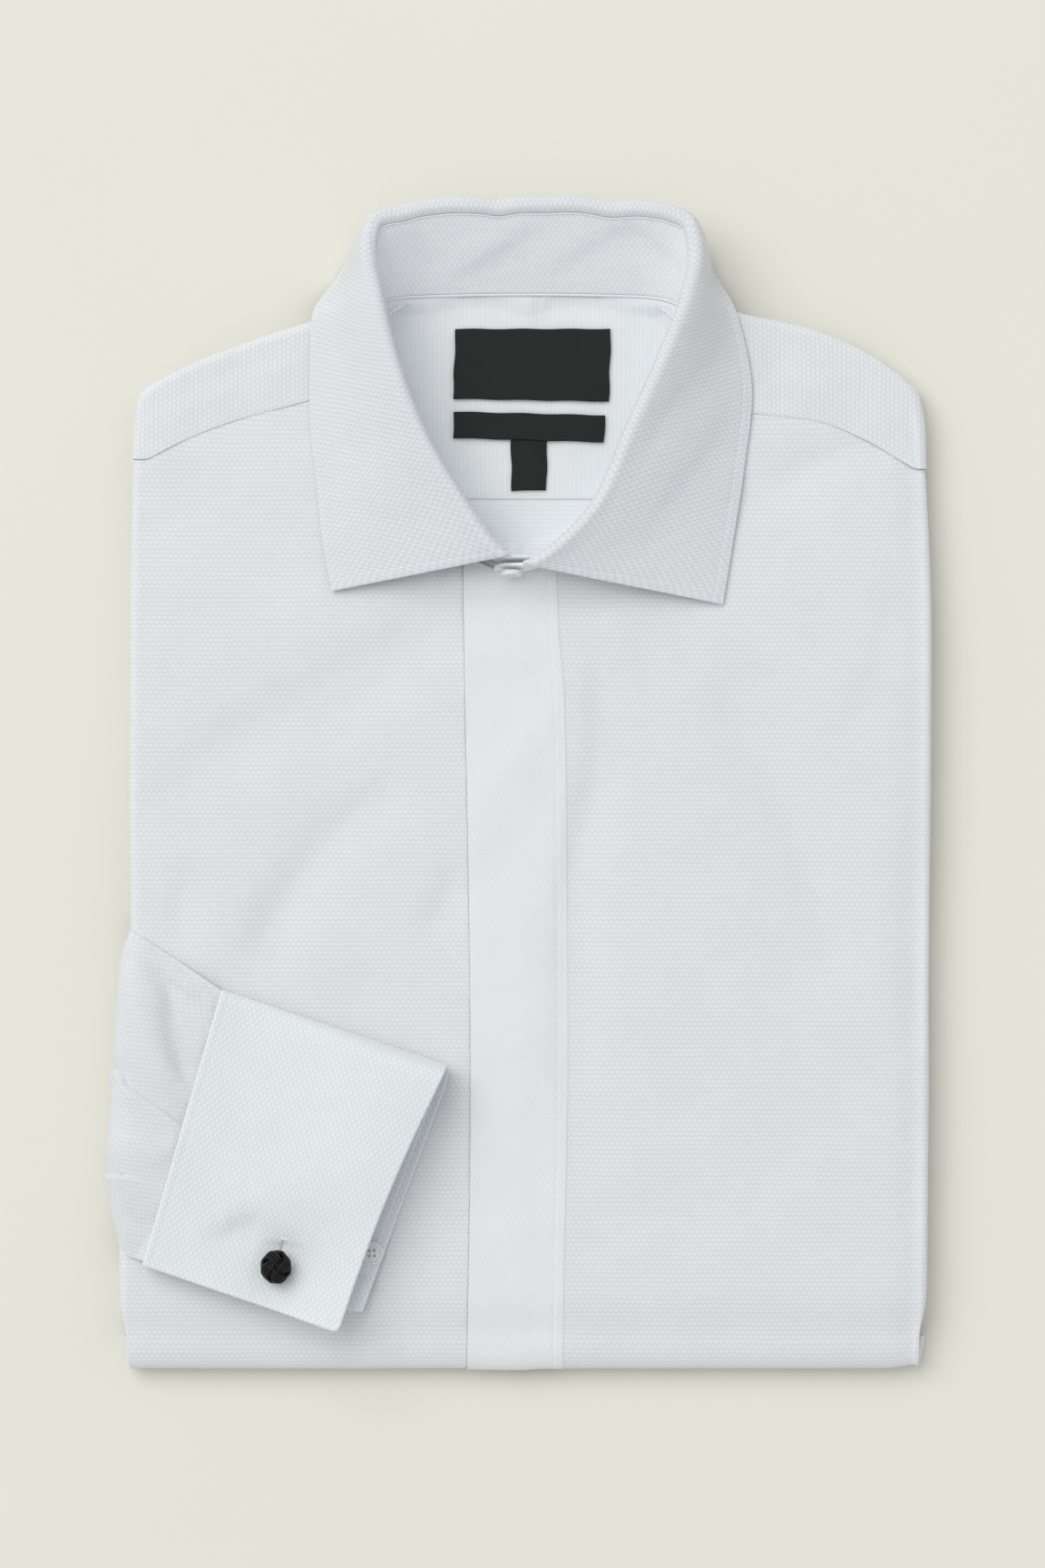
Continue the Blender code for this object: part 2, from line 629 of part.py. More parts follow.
def core_top(x, y):
    """Upper face of the hidden layers: under the panels, and sunk inside the neck."""
    covered = top(x, y) - WALL - GAP - CORE_SINK
    covered -= KNOT_HOLLOW * np.exp(-((np.hypot(x - KNOT[0], y - KNOT[1]) / KNOT_HOLLOW_REACH) ** 2))
    angles = np.arctan2(COLLAR["base_y"] - NECK_CENTRE[1], COLLAR["base_x"] - NECK_CENTRE[0])
    reaches = np.hypot(COLLAR["base_y"] - NECK_CENTRE[1], COLLAR["base_x"] - NECK_CENTRE[0])
    here = np.arctan2(y - NECK_CENTRE[1], x - NECK_CENTRE[0])
    reach = np.interp(here, *zip(*sorted(zip(angles, reaches))), period=2 * math.pi)
    inside = reach - np.hypot(x - NECK_CENTRE[0], y - NECK_CENTRE[1])
    floor = INNER_TOP - WALL - GAP - CORE_SINK
    return blend(covered, np.minimum(floor, covered), ease((inside + WELL_MARGIN) / WELL_SLOPE))


def core_levels(kind, x, y, z, out_x, out_y):
    """The ring of heights below one point of the hidden layers' rim, from the table up."""
    if kind == "roll":
        offsets = (ROLL_REACH - WALL - GAP - CORE_SINK) * np.sin(ROLL_TURNS)
        heights = HALF + (HALF - WALL - GAP - CORE_SINK) * np.cos(ROLL_TURNS)
        offsets[:2] = -2 * GAP
        heights[0] = 0
    elif kind == "recess":
        offsets, heights = SLEEVE_RECESS["out"], SLEEVE_RECESS["z"]
    elif kind == "plain":
        offsets, heights = np.full(6, -CORE_INSET), EDGE_LAYERS["z"]
    else:
        offsets, heights = EDGE_LAYERS["out"], EDGE_LAYERS["z"]
    past = 0 if kind == "roll" else CORE_INSET
    ring_x, ring_y = x + out_x * (offsets + past), y + out_y * (offsets + past)
    return zip(ring_x, ring_y, heights * min(height_share(x, y), z / EDGE_LAYERS["z"][-1]))


def side_kind(x, y):
    if y < ROLL_START + ROLL_END:
        return "plain"
    if x < 0 and RECESS_BOTTOM < y < RECESS_TOP:
        return "recess"
    return "edge"


def rim_rings(x, y, z):
    """The rings of points that step down from the grid's rim, with the rim's places in the grid."""
    top_row, right_column = x.shape[0] - 1, x.shape[1] - 1
    rim = [(0, i) for i in range(right_column)]
    rim += [(j, right_column) for j in range(top_row)]
    rim += [(top_row, i) for i in range(right_column, 0, -1)]
    rim += [(j, 0) for j in range(top_row, 0, -1)]
    for k, (j, i) in enumerate(rim):
        before, after = rim[k - 1], rim[(k + 1) % len(rim)]
        kind = "roll" if j == 0 else "edge" if j == top_row else side_kind(x[j, i], y[j, i])
        if kind == "roll":
            out_x, out_y = 0.0, -1.0
        elif j < top_row:
            out_x, out_y = math.copysign(1, x[j, i]), 0.0
        else:
            run = np.array([x[after] - x[before], y[after] - y[before]])
            out_x, out_y = np.array([run[1], -run[0]]) / np.hypot(*run)
        yield (j, i), core_levels(kind, x[j, i], y[j, i], z[j, i], out_x, out_y)


def hidden_layers(finish, group):
    """The folded back, second sleeve and tails as one solid: a grid on top, layered rims and a flat base."""
    uppers = np.sort(np.concatenate([CORE_HEM_ROWS, np.linspace(0, 1, CORE_ROWS) ** CORE_ROW_BIAS]))
    x, y = core_outline(*np.meshgrid(np.linspace(0, 1, CORE_COLUMNS), uppers))
    z = core_top(x, y)
    bm = bmesh.new()
    grid = [[bm.verts.new(p) for p in zip(*line)] for line in zip(x * MM, y * MM, z * MM)]
    for low, high in zip(grid, grid[1:]):
        for a, b, c, d in zip(low, low[1:], high[1:], high):
            bm.faces.new((a, b, c, d))
    rings = []
    for (j, i), levels in rim_rings(x, y, z):
        rings.append([bm.verts.new(Vector(p) * MM) for p in levels] + [grid[j][i]])
    for ring, following in zip(rings, rings[1:] + rings[:1]):
        for a, b, c, d in zip(ring, following, following[1:], ring[1:]):
            bm.faces.new((a, b, c, d))
    bm.faces.new([ring[0] for ring in reversed(rings)])
    made = place("folded_layers", bm, finish, group)
    made.data.shade_smooth()
    return made


def label(name, corners, finish, group):
    """A woven label lying on the inner yoke."""
    low_left, low_right, high_right, high_left = (point(*corner) for corner in corners)

    def shape(u, v):
        x, y = blend(blend(low_left, low_right, u), blend(high_left, high_right, u), v)
        return x, y, np.full(x.shape, INNER_TOP + GAP)

    return sheet(name, shape, 4, 2, LABEL_WALL, 1, finish, group)


def knot(name, centre_z, height, finish, group):
    """A ball of woven cord, flattened, its strands raised in crossing bands."""
    bm = bmesh.new()
    bmesh.ops.create_uvsphere(bm, u_segments=24, v_segments=14, radius=1)
    for vertex in bm.verts:
        x, y, z = vertex.co
        turn = math.atan2(y, x)
        weave = math.cos(6 * turn + 5 * z) * math.cos(6 * turn - 5 * z)
        strand = (1 + KNOT_STRAND * weave) / (1 + KNOT_STRAND)
        vertex.co = Vector((x * KNOT_RADIUS, y * KNOT_RADIUS, z * height / 2)) * strand
        vertex.co = (vertex.co + Vector((*KNOT, centre_z))) * MM
    made = place(name, bm, finish, group)
    made.data.shade_smooth()
    return made


def button(name, radius, height, centre, facing, finish, group, cutters):
    """A sewn button: a turned disc with a raised rim and four holes."""
    rim = 0.18 * radius
    profile = [
        (0, height * 0.3),
        (radius - 1.6 * rim, height * 0.3),
        (radius - rim, height * 0.5),
        (radius - 0.3 * rim, height * 0.4),
        (radius, 0),
        (radius - 0.5 * rim, -height * 0.4),
        (radius - 1.5 * rim, -height * 0.5),
        (0, -height * 0.5),
    ]
    bm = bmesh.new()
    points = [bm.verts.new((r * MM, 0, z * MM)) for r, z in profile]
    for a, b in zip(points, points[1:]):
        bm.edges.new((a, b))
    made = place(name, bm, finish, group)
    turned = made.modifiers.new("Turned", "SCREW")
    turned.steps = turned.render_steps = 24
    turned.use_merge_vertices = True
    turned.merge_threshold = 0.00005
    holes = bmesh.new()
    for k in range(4):
        angle = math.pi / 4 + k * math.pi / 2
        spot = Vector((math.cos(angle), math.sin(angle), 0)) * radius * 0.3 * MM
        hole = {"radius1": HOLE_RADIUS * MM, "radius2": HOLE_RADIUS * MM, "depth": 4 * height * MM}
        ends = bmesh.ops.create_cone(holes, cap_ends=True, segments=8, **hole)
        bmesh.ops.translate(holes, verts=ends["verts"], vec=spot)
    cutter = place(name + "_holes", holes, finish, cutters)
    cutter.hide_render = True
    cutter.display_type = "WIRE"
    turn = Vector(facing).to_track_quat("Z", "Y").to_matrix().to_4x4()
    turn.translation = Vector(centre) * MM
    cutter.data.transform(turn)
    cut = made.modifiers.new("Holes", "BOOLEAN")
    cut.object = cutter
    cut.operation = "DIFFERENCE"
    made.matrix_world = turn
    return made


def cylinder(name, radius, low, high, finish, group):
    bm = bmesh.new()
    bmesh.ops.create_cone(
        bm, cap_ends=True, segments=12, radius1=radius * MM, radius2=radius * MM, depth=(high - low) * MM
    )
    bmesh.ops.translate(bm, verts=bm.verts, vec=Vector((*KNOT, (low + high) / 2)) * MM)
    return place(name, bm, finish, group)


def cut_buttonholes(piece, cutters):
    """One round hole through both halves of the cuff, where the knot's cord passes."""
    cutter = cylinder("cuff_buttonholes", CORD_RADIUS + GAP, 10, 40, piece.data.materials[0], cutters)
    cutter.hide_render = True
    cutter.display_type = "WIRE"
    cut = piece.modifiers.new("Buttonholes", "BOOLEAN")
    cut.object = cutter
    cut.operation = "DIFFERENCE"


def cuff_level(x, y, upper):
    """Height of the middle of the cuff's wall over a plan position, on its upper or its under half."""
    u, v = np.meshgrid(np.linspace(0, 1, 40), np.linspace(0.55, 1, 60) if upper else np.linspace(0, 0.42, 60))
    px, py, pz = cuff(u.ravel(), v.ravel())
    return pz[np.argmin(np.hypot(px - x, py - y))]


def main():
    garment, cutters = clear_collections("folded_dress_shirt")
    cotton = material("white_dobby_cotton", (0.86, 0.87, 0.88), 0.85)
    fly = material("white_poplin", (0.88, 0.88, 0.87), 0.8)
    inside = material("white_cotton_inside", (0.82, 0.83, 0.85), 0.85)
    woven_black = material("black_woven_label", (0.012, 0.012, 0.013), 0.6)
    silk = material("black_silk_cord", (0.006, 0.006, 0.007), 0.45)
    pearl = material("white_button", (0.9, 0.9, 0.88), 0.25)

    hidden_layers(inside, garment)
    sheet("front_right", right_front, 20, 27, WALL, -1, cotton, garment)
    sheet("front_left", left_front, 20, 27, WALL, -1, cotton, garment)
    sheet("placket", placket, 6, 25, WALL, -1, fly, garment)
    sheet("yoke_outer", outer_yoke, 40, 6, WALL, -1, cotton, garment)
    sheet("yoke_inner", inner_panel(INNER_YOKE), 10, 8, WALL, -1, inside, garment)
    sheet("back_inner", inner_panel(INNER_BACK), 6, 3, WALL, -1, inside, garment)
    sheet("collar_stand", collar_stand, 54, 2, COLLAR_WALL, 0, cotton, garment)
    sheet("collar_leaf", collar_leaf, 48, 10, COLLAR_WALL, 0, cotton, garment)
    sheet("sleeve", sleeve, 15, 24, WALL, 0, cotton, garment)
    wrapped = sheet("cuff", cuff, 8, 26, CUFF_WALL, 0, cotton, garment)
    cut_buttonholes(wrapped, cutters)

    for name, corners in LABELS.items():
        label(name, corners, woven_black, garment)

    under_level = cuff_level(*KNOT, upper=False)
    upper_level = cuff_level(*KNOT, upper=True)
    under_top = under_level - CUFF_WALL / 2 - 2 * GAP
    upper_bottom = upper_level + CUFF_WALL / 2 + GAP
    knot("knot_under", under_top - UNDER_KNOT_HEIGHT / 2, UNDER_KNOT_HEIGHT, silk, garment)
    knot("knot_top", upper_bottom + KNOT_HEIGHT / 2, KNOT_HEIGHT, silk, garment)
    cylinder("knot_cord", CORD_RADIUS, under_top + 2 * GAP, upper_bottom - 2 * GAP, silk, garment)

    at = NECK_BUTTON_ROW / (len(COLLAR["under"]) - 1)
    low, middle = (np.array(collar_stand(np.array([at]), np.array([t])))[:, 0] for t in (0.0, NECK_BUTTON_UP))
    rise = Vector(middle - low).normalized()
    facing = Vector((1, 0, 0)).cross(rise)
    centre = Vector(middle) + facing * (COLLAR_WALL / 2 + 1.5 * GAP + BUTTON_HEIGHT / 2)
    button("neck_button", BUTTON_RADIUS, BUTTON_HEIGHT, centre, facing, pearl, garment, cutters)
    seat = cuff_level(*CUFF_BUTTON, upper=False) + CUFF_WALL / 2 + 2 * GAP + CUFF_BUTTON_HEIGHT / 2
    centre = (*CUFF_BUTTON, seat)
    button("cuff_button", CUFF_BUTTON_RADIUS, CUFF_BUTTON_HEIGHT, centre, UPWARD, pearl, garment, cutters)


main()
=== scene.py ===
"""Dresses a folded dress shirt: its cloth, stitching, labels, silk knot and the stage it lies on.

Sizes are in millimetres and are turned to metres where a mesh is made. +X is to the right of the front,
+Y is towards the collar and +Z is up. Each piece of cloth is a surface worked out from two numbers from
0 to 1, u and v, and given a wall that is rounded at its edges.
"""

import math

import bpy
import numpy as np
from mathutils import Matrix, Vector


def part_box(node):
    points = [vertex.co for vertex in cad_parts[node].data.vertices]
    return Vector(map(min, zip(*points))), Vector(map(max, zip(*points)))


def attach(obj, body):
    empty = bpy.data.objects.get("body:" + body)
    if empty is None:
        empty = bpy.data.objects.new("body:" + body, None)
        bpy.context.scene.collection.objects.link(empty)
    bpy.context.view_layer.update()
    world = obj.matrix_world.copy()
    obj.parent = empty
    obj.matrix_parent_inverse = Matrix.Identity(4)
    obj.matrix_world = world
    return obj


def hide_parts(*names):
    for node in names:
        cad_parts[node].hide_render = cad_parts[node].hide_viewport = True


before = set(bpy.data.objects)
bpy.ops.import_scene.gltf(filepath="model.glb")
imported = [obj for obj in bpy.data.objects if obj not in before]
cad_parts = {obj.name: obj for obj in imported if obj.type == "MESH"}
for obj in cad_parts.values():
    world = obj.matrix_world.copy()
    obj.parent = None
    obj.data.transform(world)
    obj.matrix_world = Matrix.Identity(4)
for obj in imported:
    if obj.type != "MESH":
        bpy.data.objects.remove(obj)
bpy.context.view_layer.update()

bl_info = {
    "name": "Folded Dress Shirt",
    "version": (1, 0, 0),
    "blender": (4, 5, 0),
    "location": "3D View > Sidebar > Shirt",
    "description": "Makes a dress shirt folded flat, with its weave, stitching, silk knot and stage",
    "category": "Object",
}

MM = 0.001

# The packet
HEIGHT = 15.0  # full height over the folded layers
HALF = HEIGHT / 2
SIDE_RADIUS = 3.4  # of the fold at each side of the upper layers
SIDE_WRAP = 9.8  # cloth that goes round a side fold, measured along it
ROLL_START = -206.5  # y where the bottom fold leaves the flat
ROLL_REACH = 12.0  # how far the bottom fold reaches past that
ROLL_RADIUS = 10.0
FALL = 2.6  # how much lower the packet is at its bottom fold
SIDE_FALL = 1.6  # and at its right fold
FALL_REACH = 9.0  # how far in from those folds the packet starts to round off
SHOULDER_SHARE = 0.76  # height at the shoulders over the full height
NECK_DIP = (5, 62, 24)  # middle x, half width and fade of the low place at the neck's back
NECK_DIP_RUN = (152, 30)  # y where it starts, and over how far it gets there
SHOULDER_TOP = 145.6  # y where the sides meet the shoulders
SHOULDER_RUN = (40, 110)  # y where the height starts to drop towards the shoulders, and over how far
NECK_SHARE = 0.40  # height at the neck's back over the full height

# Cloth
WALL = 0.7
PLACKET_WALL = 1.0
COLLAR_WALL = 1.35
CUFF_WALL = 1.7
LABEL_WALL = 0.7
INNER_WALL = 0.6
LONG_FLANK = 2.0  # how much longer a crease's lower right flank is
CREASE_END = 0.25  # share of a crease's length over which it fades, on each side of its end
CALM = 0.35  # share of the unevenness that is left at the folds

# Neck
NECK_CENTRE = (4.0, 130.0)
INNER_TOP = 4.4  # height of the inside that shows
INNER_RISE = 7.5  # how far in from the neck seam the inside curves up
SEAM_REST = 0.15  # gap between the neck seam and the yoke
FOLD_RADIUS = 2.5
LEAF_SEAM = 2.2  # from the collar's fold down to its seam with the stand, on the inside
LEAF_INSIDE = 0.1  # share of the leaf's v that lies inside the fold
LEAF_ROUND = 0.4  # share where its round ends and its fall begins
LEAF_REST = 1.0  # height of its free edge over what it lies on
POINT_ROUND = 2.2  # of the collar's points
STAND_ROW = 14  # length of the neck seam in each row near the stand's ends
STAND_END = 7  # round of those ends
STAND_END_HEIGHT = 0.3  # share of the stand's height that is left there
BACK_START = 200  # y from which the fold's dents show
SEAM_CORD = 0.55  # radius of the ridge at the leaf's seam
NECK_CORD = 0.5  # and at the neck seam
LABEL_PROUD = 0.3  # how much the middle of a label stands up
LABEL_LEVELS = (0.5, 0.9)  # height of the size label, and of the other two, over the inside

# Yoke
YOKE_FLAT = 0.5  # share of its v up to the shoulder fold
YOKE_NECK = (4.6, 15.4)  # rows of its table between which the seam follows the neck
YOKE_SEAM_END = 0.62  # how far across a front its seam with the yoke goes
YOKE_LAP = 0.7  # how far it laps over the fronts
YOKE_HEM = 0.04
YOKE_LENGTH = 430.0
YOKE_STITCHES = 2.0  # from its lower edge
YOKE_SEWN = (-60, 68)  # x outside which that edge is stitched to the fronts

# Centre front
HEM_ROWS = 6 / 27  # share of a front's v that goes round the bottom fold
SIDE_COLUMNS = 4 / 20  # share of its u that goes round the side fold
HEM_PULL = 1.6  # how fast its columns come to their places over the hem
PLACKET_ROWS = 6 / 25  # share of the placket's v that goes round the bottom fold
PLACKET_WIDTH = 37.0
PLACKET_LENGTH = 305.0
PLACKET_TOP = 79.8  # y of its top edge in the middle
PLACKET_RISE = 9.0  # three quarters of this is how much higher the top edge's corners are
PLACKET_LIFT = 0.45  # height of its free half over the left front's cloth
PLACKET_REST = 0.08  # and of all of it
PLACKET_SLOPE = 9.0  # distance right of centre front in which that lift ends
PLACKET_BAND = 4.0  # width of the stitched band along its seam
PLACKET_BEND = 0.3  # roundness of the middle of its top edge
PLACKET_STITCHES = 4.7  # from its edge at the seam
UNDER_PLACKET = 1.1  # how far the right front dips under it
UNDER_YOKE = 0.28  # how far the fronts dip under the yoke's seam
PLACKET_TURN = 0.66  # share of the bottom fold that the placket goes round
UNDERLAP = 2.5  # from centre front to the edge of the right front

# Collar, cuff and sleeve: lengths of cloth
STAND_DEPTH = 30.0
COLLAR_LENGTH = 400.0
FREE_EDGE = 290.0
LEAF_DEPTH = 100.0  # all round the fold, for the points' round only
FALL_LENGTH = 52.0
CUFF_DEPTH = 89.0  # from the sleeve to the mouth
CUFF_HALF = 107.0  # from the fold to the open edges
CUFF_ROUND = 212.0
CUFF_STITCHES = 3.0  # from the cuff's edge
CUFF_MIDDLE = 6.5  # height between the cuff's halves over the packet
SLEEVE_SHOWN = 48.0

# Knot
KNOT = (-89.9, -178.9)
KNOT_HEIGHT = 9.6
UNDER_KNOT_HEIGHT = 5.2
BRAID_SWING = 64  # degrees of latitude that the braid reaches
BRAID_DEPTH = 1.3  # how much deeper a cord lies where it goes under
CORD_SPACING = 1.75  # between cords side by side, in cord radii
BALL_SPREAD = (1.01, 1.11)  # the ball's width along x and y over its nominal width
CORE_DEPTH = 1.9  # from the ball's outside to its core
LINK_RADIUS = 0.7  # of each strand between the balls
LINK_TWIST = 1.4  # turn of the strands in each mm, in radians
LINK_END = 0.6  # how far the strands go into each ball

# Hidden layers
RIM_SET = 1.2  # how far they stay inside the covering cloth
BEHIND_SLEEVE = (-179, -49)  # y between which the sleeve covers the left edge
BACK_LIFT = 0.8  # of the back between the side panels, on the underside
PACKET_COLUMNS = 220  # points along each side
IN_UNDER = (0.0, 0.2, 0.4, 0.55, 0.7, 0.82, 0.9, 0.95, 0.98)  # rings from the middle out, underneath
OVER_TOP = (1.0, 0.985, 0.96, 0.9, 0.8, 0.65, 0.5, 0.3, 0.1, 0.0)  # rings from the rim in, on top
EDGE_RINGS = 30
EDGE_TOP = 7.2  # height up to which the layered edge shows
FOOT_SET = -1.4  # how far out the layers reach at the bottom fold
SLEEVE_SET = -9.5  # and behind the sleeve

# Stage
FLOOR_HALF = 3000  # in mm, as is its level
FLOOR_LEVEL = -0.15
SQUARE = ((-1, -1), (1, -1), (1, 1), (-1, 1))
KEY_PLACE = (-3.0, 3.0, 6.0)  # in metres, as are the rest here
KEY_SIZE = 7.0
KEY_COLOUR = (1.0, 0.992, 0.98)
ROOM_COLOUR = "#F7F8FC"
SENSOR = 36.0  # in mm
CAMERA_CENTRE = (0.0017, 0.0005)

UP = np.array([[0.0], [0.0], [1.0]])

# Settings that many nodes share
MULTIPLY = {"operation": "MULTIPLY"}
ADD = {"operation": "ADD"}
MIX = {"data_type": "RGBA"}


def point(x, y):
    """A plan position as a column, so that it blends with rows of numbers."""
    return np.array([[x], [y]])


def table(columns, *rows):
    """Rows of numbers as one array for each named column."""
    return dict(zip(columns.split(), np.array(rows, float).T))


CREASE = "x0 y0 x1 y1 bow width depth"  # columns of a table of creases

LEFT_EDGE = table(
    "y x",
    (-219.5, -148.4),
    (-205, -149.2),
    (-174, -149.2),
    (-110, -147),
    (-54, -144.8),
    (-10, -145.4),
    (56, -145.1),
    (118, -144.4),
    (147, -143.4),
)

RIGHT_EDGE = table(
    "y x",
    (-219.5, 152.8),
    (-130, 153.7),
    (-46, 154.2),
    (56, 154.9),
    (117, 153.2),
    (145, 152.5),
)

SHOULDER = table(
    "x y",
    (-143.4, 147.4),
    (-132, 154.4),
    (-95.3, 168),
    (-74.2, 174.7),
    (-50, 183.4),
    (-25, 188.3),
    (5, 189.2),
    (35, 188.6),
    (60, 184.4),
    (84.4, 176.4),
    (111.5, 169.6),
    (127, 162.6),
    (145.4, 152.8),
    (152.5, 145.3),
)

# Soft troughs pressed into the front, from end to end. A negative depth is a raised place.
TROUGHS = table(
    "x0 y0 x1 y1 width depth",
    (-73.9, -13.4, -95.6, -59.2, 13, 1.1),
    (-40.3, 51.4, -70.8, 11.4, 12, 0.9),
    (-113.9, -50, -118, -62, 16, -0.8),
    (76.6, 20.5, 113.2, -62.5, 15, 1.1),
    (45.8, 41.9, 51.9, 23.6, 11, 0.7),
    (21, -13.4, 27.5, -105.3, 9, 0.7),
    (87.8, 108.6, 110.8, 123.6, 10, 0.8),
    (-90.2, -179.5, -90.2, -179.4, 16, 3.2),
)

# Finer creases over those, each on a line that bows to its left by bow. Negative depths are ridges.
FRONT_CREASES = table(
    CREASE,
    (-48, 0, -98, -62, -5, 6.5, 1.81),
    (-28, 60, -132, -6, -6, 9, 1.52),
    (-122, -30, -127, -58, 0, 6, 1.01),
    (-22, -32, -33, -54, 0, 5, 1.3),
    (-134, 122, -66, 74, 3, 8, 1.59),
    (-141.5, 97.6, -127, 99.6, 0, 2.2, 0.72),
    (-88, 141, -80, 128, 0, 3.5, 0.72),
    (-112, 133, -104, 116, 1, 4, 0.58),
    (-60, -70, -30, -92, 2, 8, 0.72),
    (75, 38, 118, -58, 4, 8, 2.1),
    (30, 52, 25, -22, 3, 5.5, 1.23),
    (24, -12, 23, -140, -6, 6.5, 2),
    (43, 60, 52, 31, 1, 5, 0.94),
    (98, 114, 146, 132, 2, 5, 1.23),
    (58, 60, 63, 38, 1, 4, 0.58),
    (141, 78, 127, 26, 4, 7, 1.01),
    (142, -20, 146, -90, 3, 7, 0.72),
    (60, -120, 110, -140, 4, 14, 0.51),
    (-34, 71, 34, 71, -3, 5.5, 2.4),
    (165, 100, 156, 132, 0, 11, 1.4),
)

YOKE_CREASES = table(
    CREASE,
    (93.2, 163.5, 98.5, 142.2, 1, 3.6, 0.8),
    (104, 162, 108, 144, 1, 5, -0.35),
    (-110, 158, -99, 148, 0, 3.5, 0.5),
    (-126, 150, -118, 137, 0, 4, 0.3),
    (124, 152, 132, 138, 0, 4, 0.3),
    (-138, 135, -84, 158, 0, 4, -0.7),
    (96, 152, 122, 142, 2, 4, -0.7),
    (160, 114, 160, 160, 0, 13, 2.6),
)

LEAF_CREASES = table(
    CREASE,
    (40, 122, 80, 166, 0, 4.5, 0.8),
    (52, 98, 80, 136, 0, 4, 0.7),
    (30, 92, 62, 132, 0, 6, -0.5),
    (-68, 160, -52, 112, 2, 5, 0.3),
)

PLACKET_CREASES = table(
    CREASE,
    (-16, 47, 6, 37, 0, 6, 0.8),
    (14.2, 30.6, -15.6, -6.2, 0, 5, -0.6),
    (-12, -29, 6, -19, 0, 8, 0.45),
    (-4, -86, 2, -100, 0, 10, -0.25),
    (-6, -130, 8, -138, 0, 9, 0.2),
    (-4, -156, 2, -170, 0, 10, -0.2),
)

SLEEVE_CREASES = table(
    CREASE,
    (-137.6, -64.9, -117.3, -101.8, 1.5, 3.4, 2.7),
    (-131.5, -62, -113, -90, 1.5, 3.4, -1.7),
    (-130.8, -80.9, -123, -110.6, -1, 3.2, 2.6),
    (-142, -74, -130, -116, -1, 4, -1.5),
    (-117.5, -74.5, -113.5, -89, 0, 3.6, 2.4),
    (-146, -132, -132, -140, 1, 3.6, -0.98),
    (-147, -160, -136, -166, 1, 4, 0.5),
    (-143, -118, -130, -131, 0, 4, 0.84),
)

CUFF_CREASES = table(
    CREASE,
    (-116, -172, -96, -161.5, 0, 5, 1.7),
    (-108, -164.6, -98, -167, 0, 6.5, 0.5),
    (-137, -157, -72, -178, -2, 8.5, 0.55),
    (-90.4, -176.5, -89.6, -170, 0, 4.5, 0.6),
    (-128, -166, -70, -190, 0, 5, -0.35),
    (-118, -110, -70, -150, 6, 18, -0.45),
    (-88.9, -174.8, -87.4, -169.4, 0, 0.8, 1.1),
)
SLIT_ENDS = np.array([[-88.9, -175.5], [-87.0, -168.4]])  # of the buttonhole over the knot
SLIT_ROUND = 0.75  # radius of the ring that its stitches stand on
SLIT_STITCHES = 56
STITCH_REACH = 3.0  # how far each stitch's line reaches, in and out
BUTTON_RADIUS = 4.5
BUTTON_HOLES = 0.3  # from its centre to each hole, in radii

# Each front's upper edge from its side fold to centre front, and where that column meets the bottom fold.
RIGHT_FRONT = table(
    "x y hem_x",
    (-141, 121.4, -145.8),
    (-125.8, 128.6, -128),
    (-108.8, 135.4, -110),
    (-78.3, 143.8, -84),
    (-58, 148.6, -60),
    (-50.2, 143, -44),
    (-38.5, 120.8, -30),
    (-23, 98.8, -16),
    (-UNDERLAP, 83.0, -UNDERLAP),
)

LEFT_FRONT = table(
    "x y hem_x",
    (149.8, 117.8, 147.8),
    (128.5, 130, 130),
    (111.5, 136.1, 112),
    (87.8, 138.7, 90),
    (65, 143.6, 68),
    (57.6, 141.5, 52),
    (47, 121.6, 40),
    (30.6, 97.4, 29),
    (14.9, 83.2, 17.7),
)

# The placket's free edge, and its seam to the left front.
PLACKET_EDGE = table("y x", (-240, -19.6), (-113, -17.9), (74, -20.6))
PLACKET_SEAM = table(
    "y x",
    (-240, 16.6),
    (-193, 16.8),
    (-107, 18.4),
    (-27, 18.1),
    (30, 17.2),
    (61, 14.9),
    (84, 14.2),
)

# The outer yoke: its seam to the fronts and round the neck, and the shoulder fold across from it.
YOKE = table(
    "seam_x seam_y rim_x rim_y",
    (-138.4, 122.9, -141, 121.9),
    (-134, 125.2, -140.4, 134),
    (-125.8, 129.2, -139, 143.6),
    (-108.8, 136, -124, 153.4),
    (-78.3, 144.4, -96, 164.3),
    (-58.6, 149.8, -78, 170.1),
    (-54.2, 158, -66, 174),
    (-52.2, 168, -58, 177),
    (-46, 177.2, -49, 180.4),
    (-33, 181.6, -33, 183.8),
    (4, 183.4, 4, 185.7),
    (42, 181.6, 42, 184.2),
    (55, 177, 57, 181.7),
    (61.6, 166, 66, 179.4),
    (63.6, 155, 74, 176.5),
    (66, 145.4, 84, 173.2),
    (87.8, 139.6, 108, 168),
    (111.5, 136.7, 134, 156.2),
    (128.5, 130.6, 148, 142.4),
    (142, 122.9, 149.4, 131),
    (147.4, 119.8, 149.8, 118.3),
)

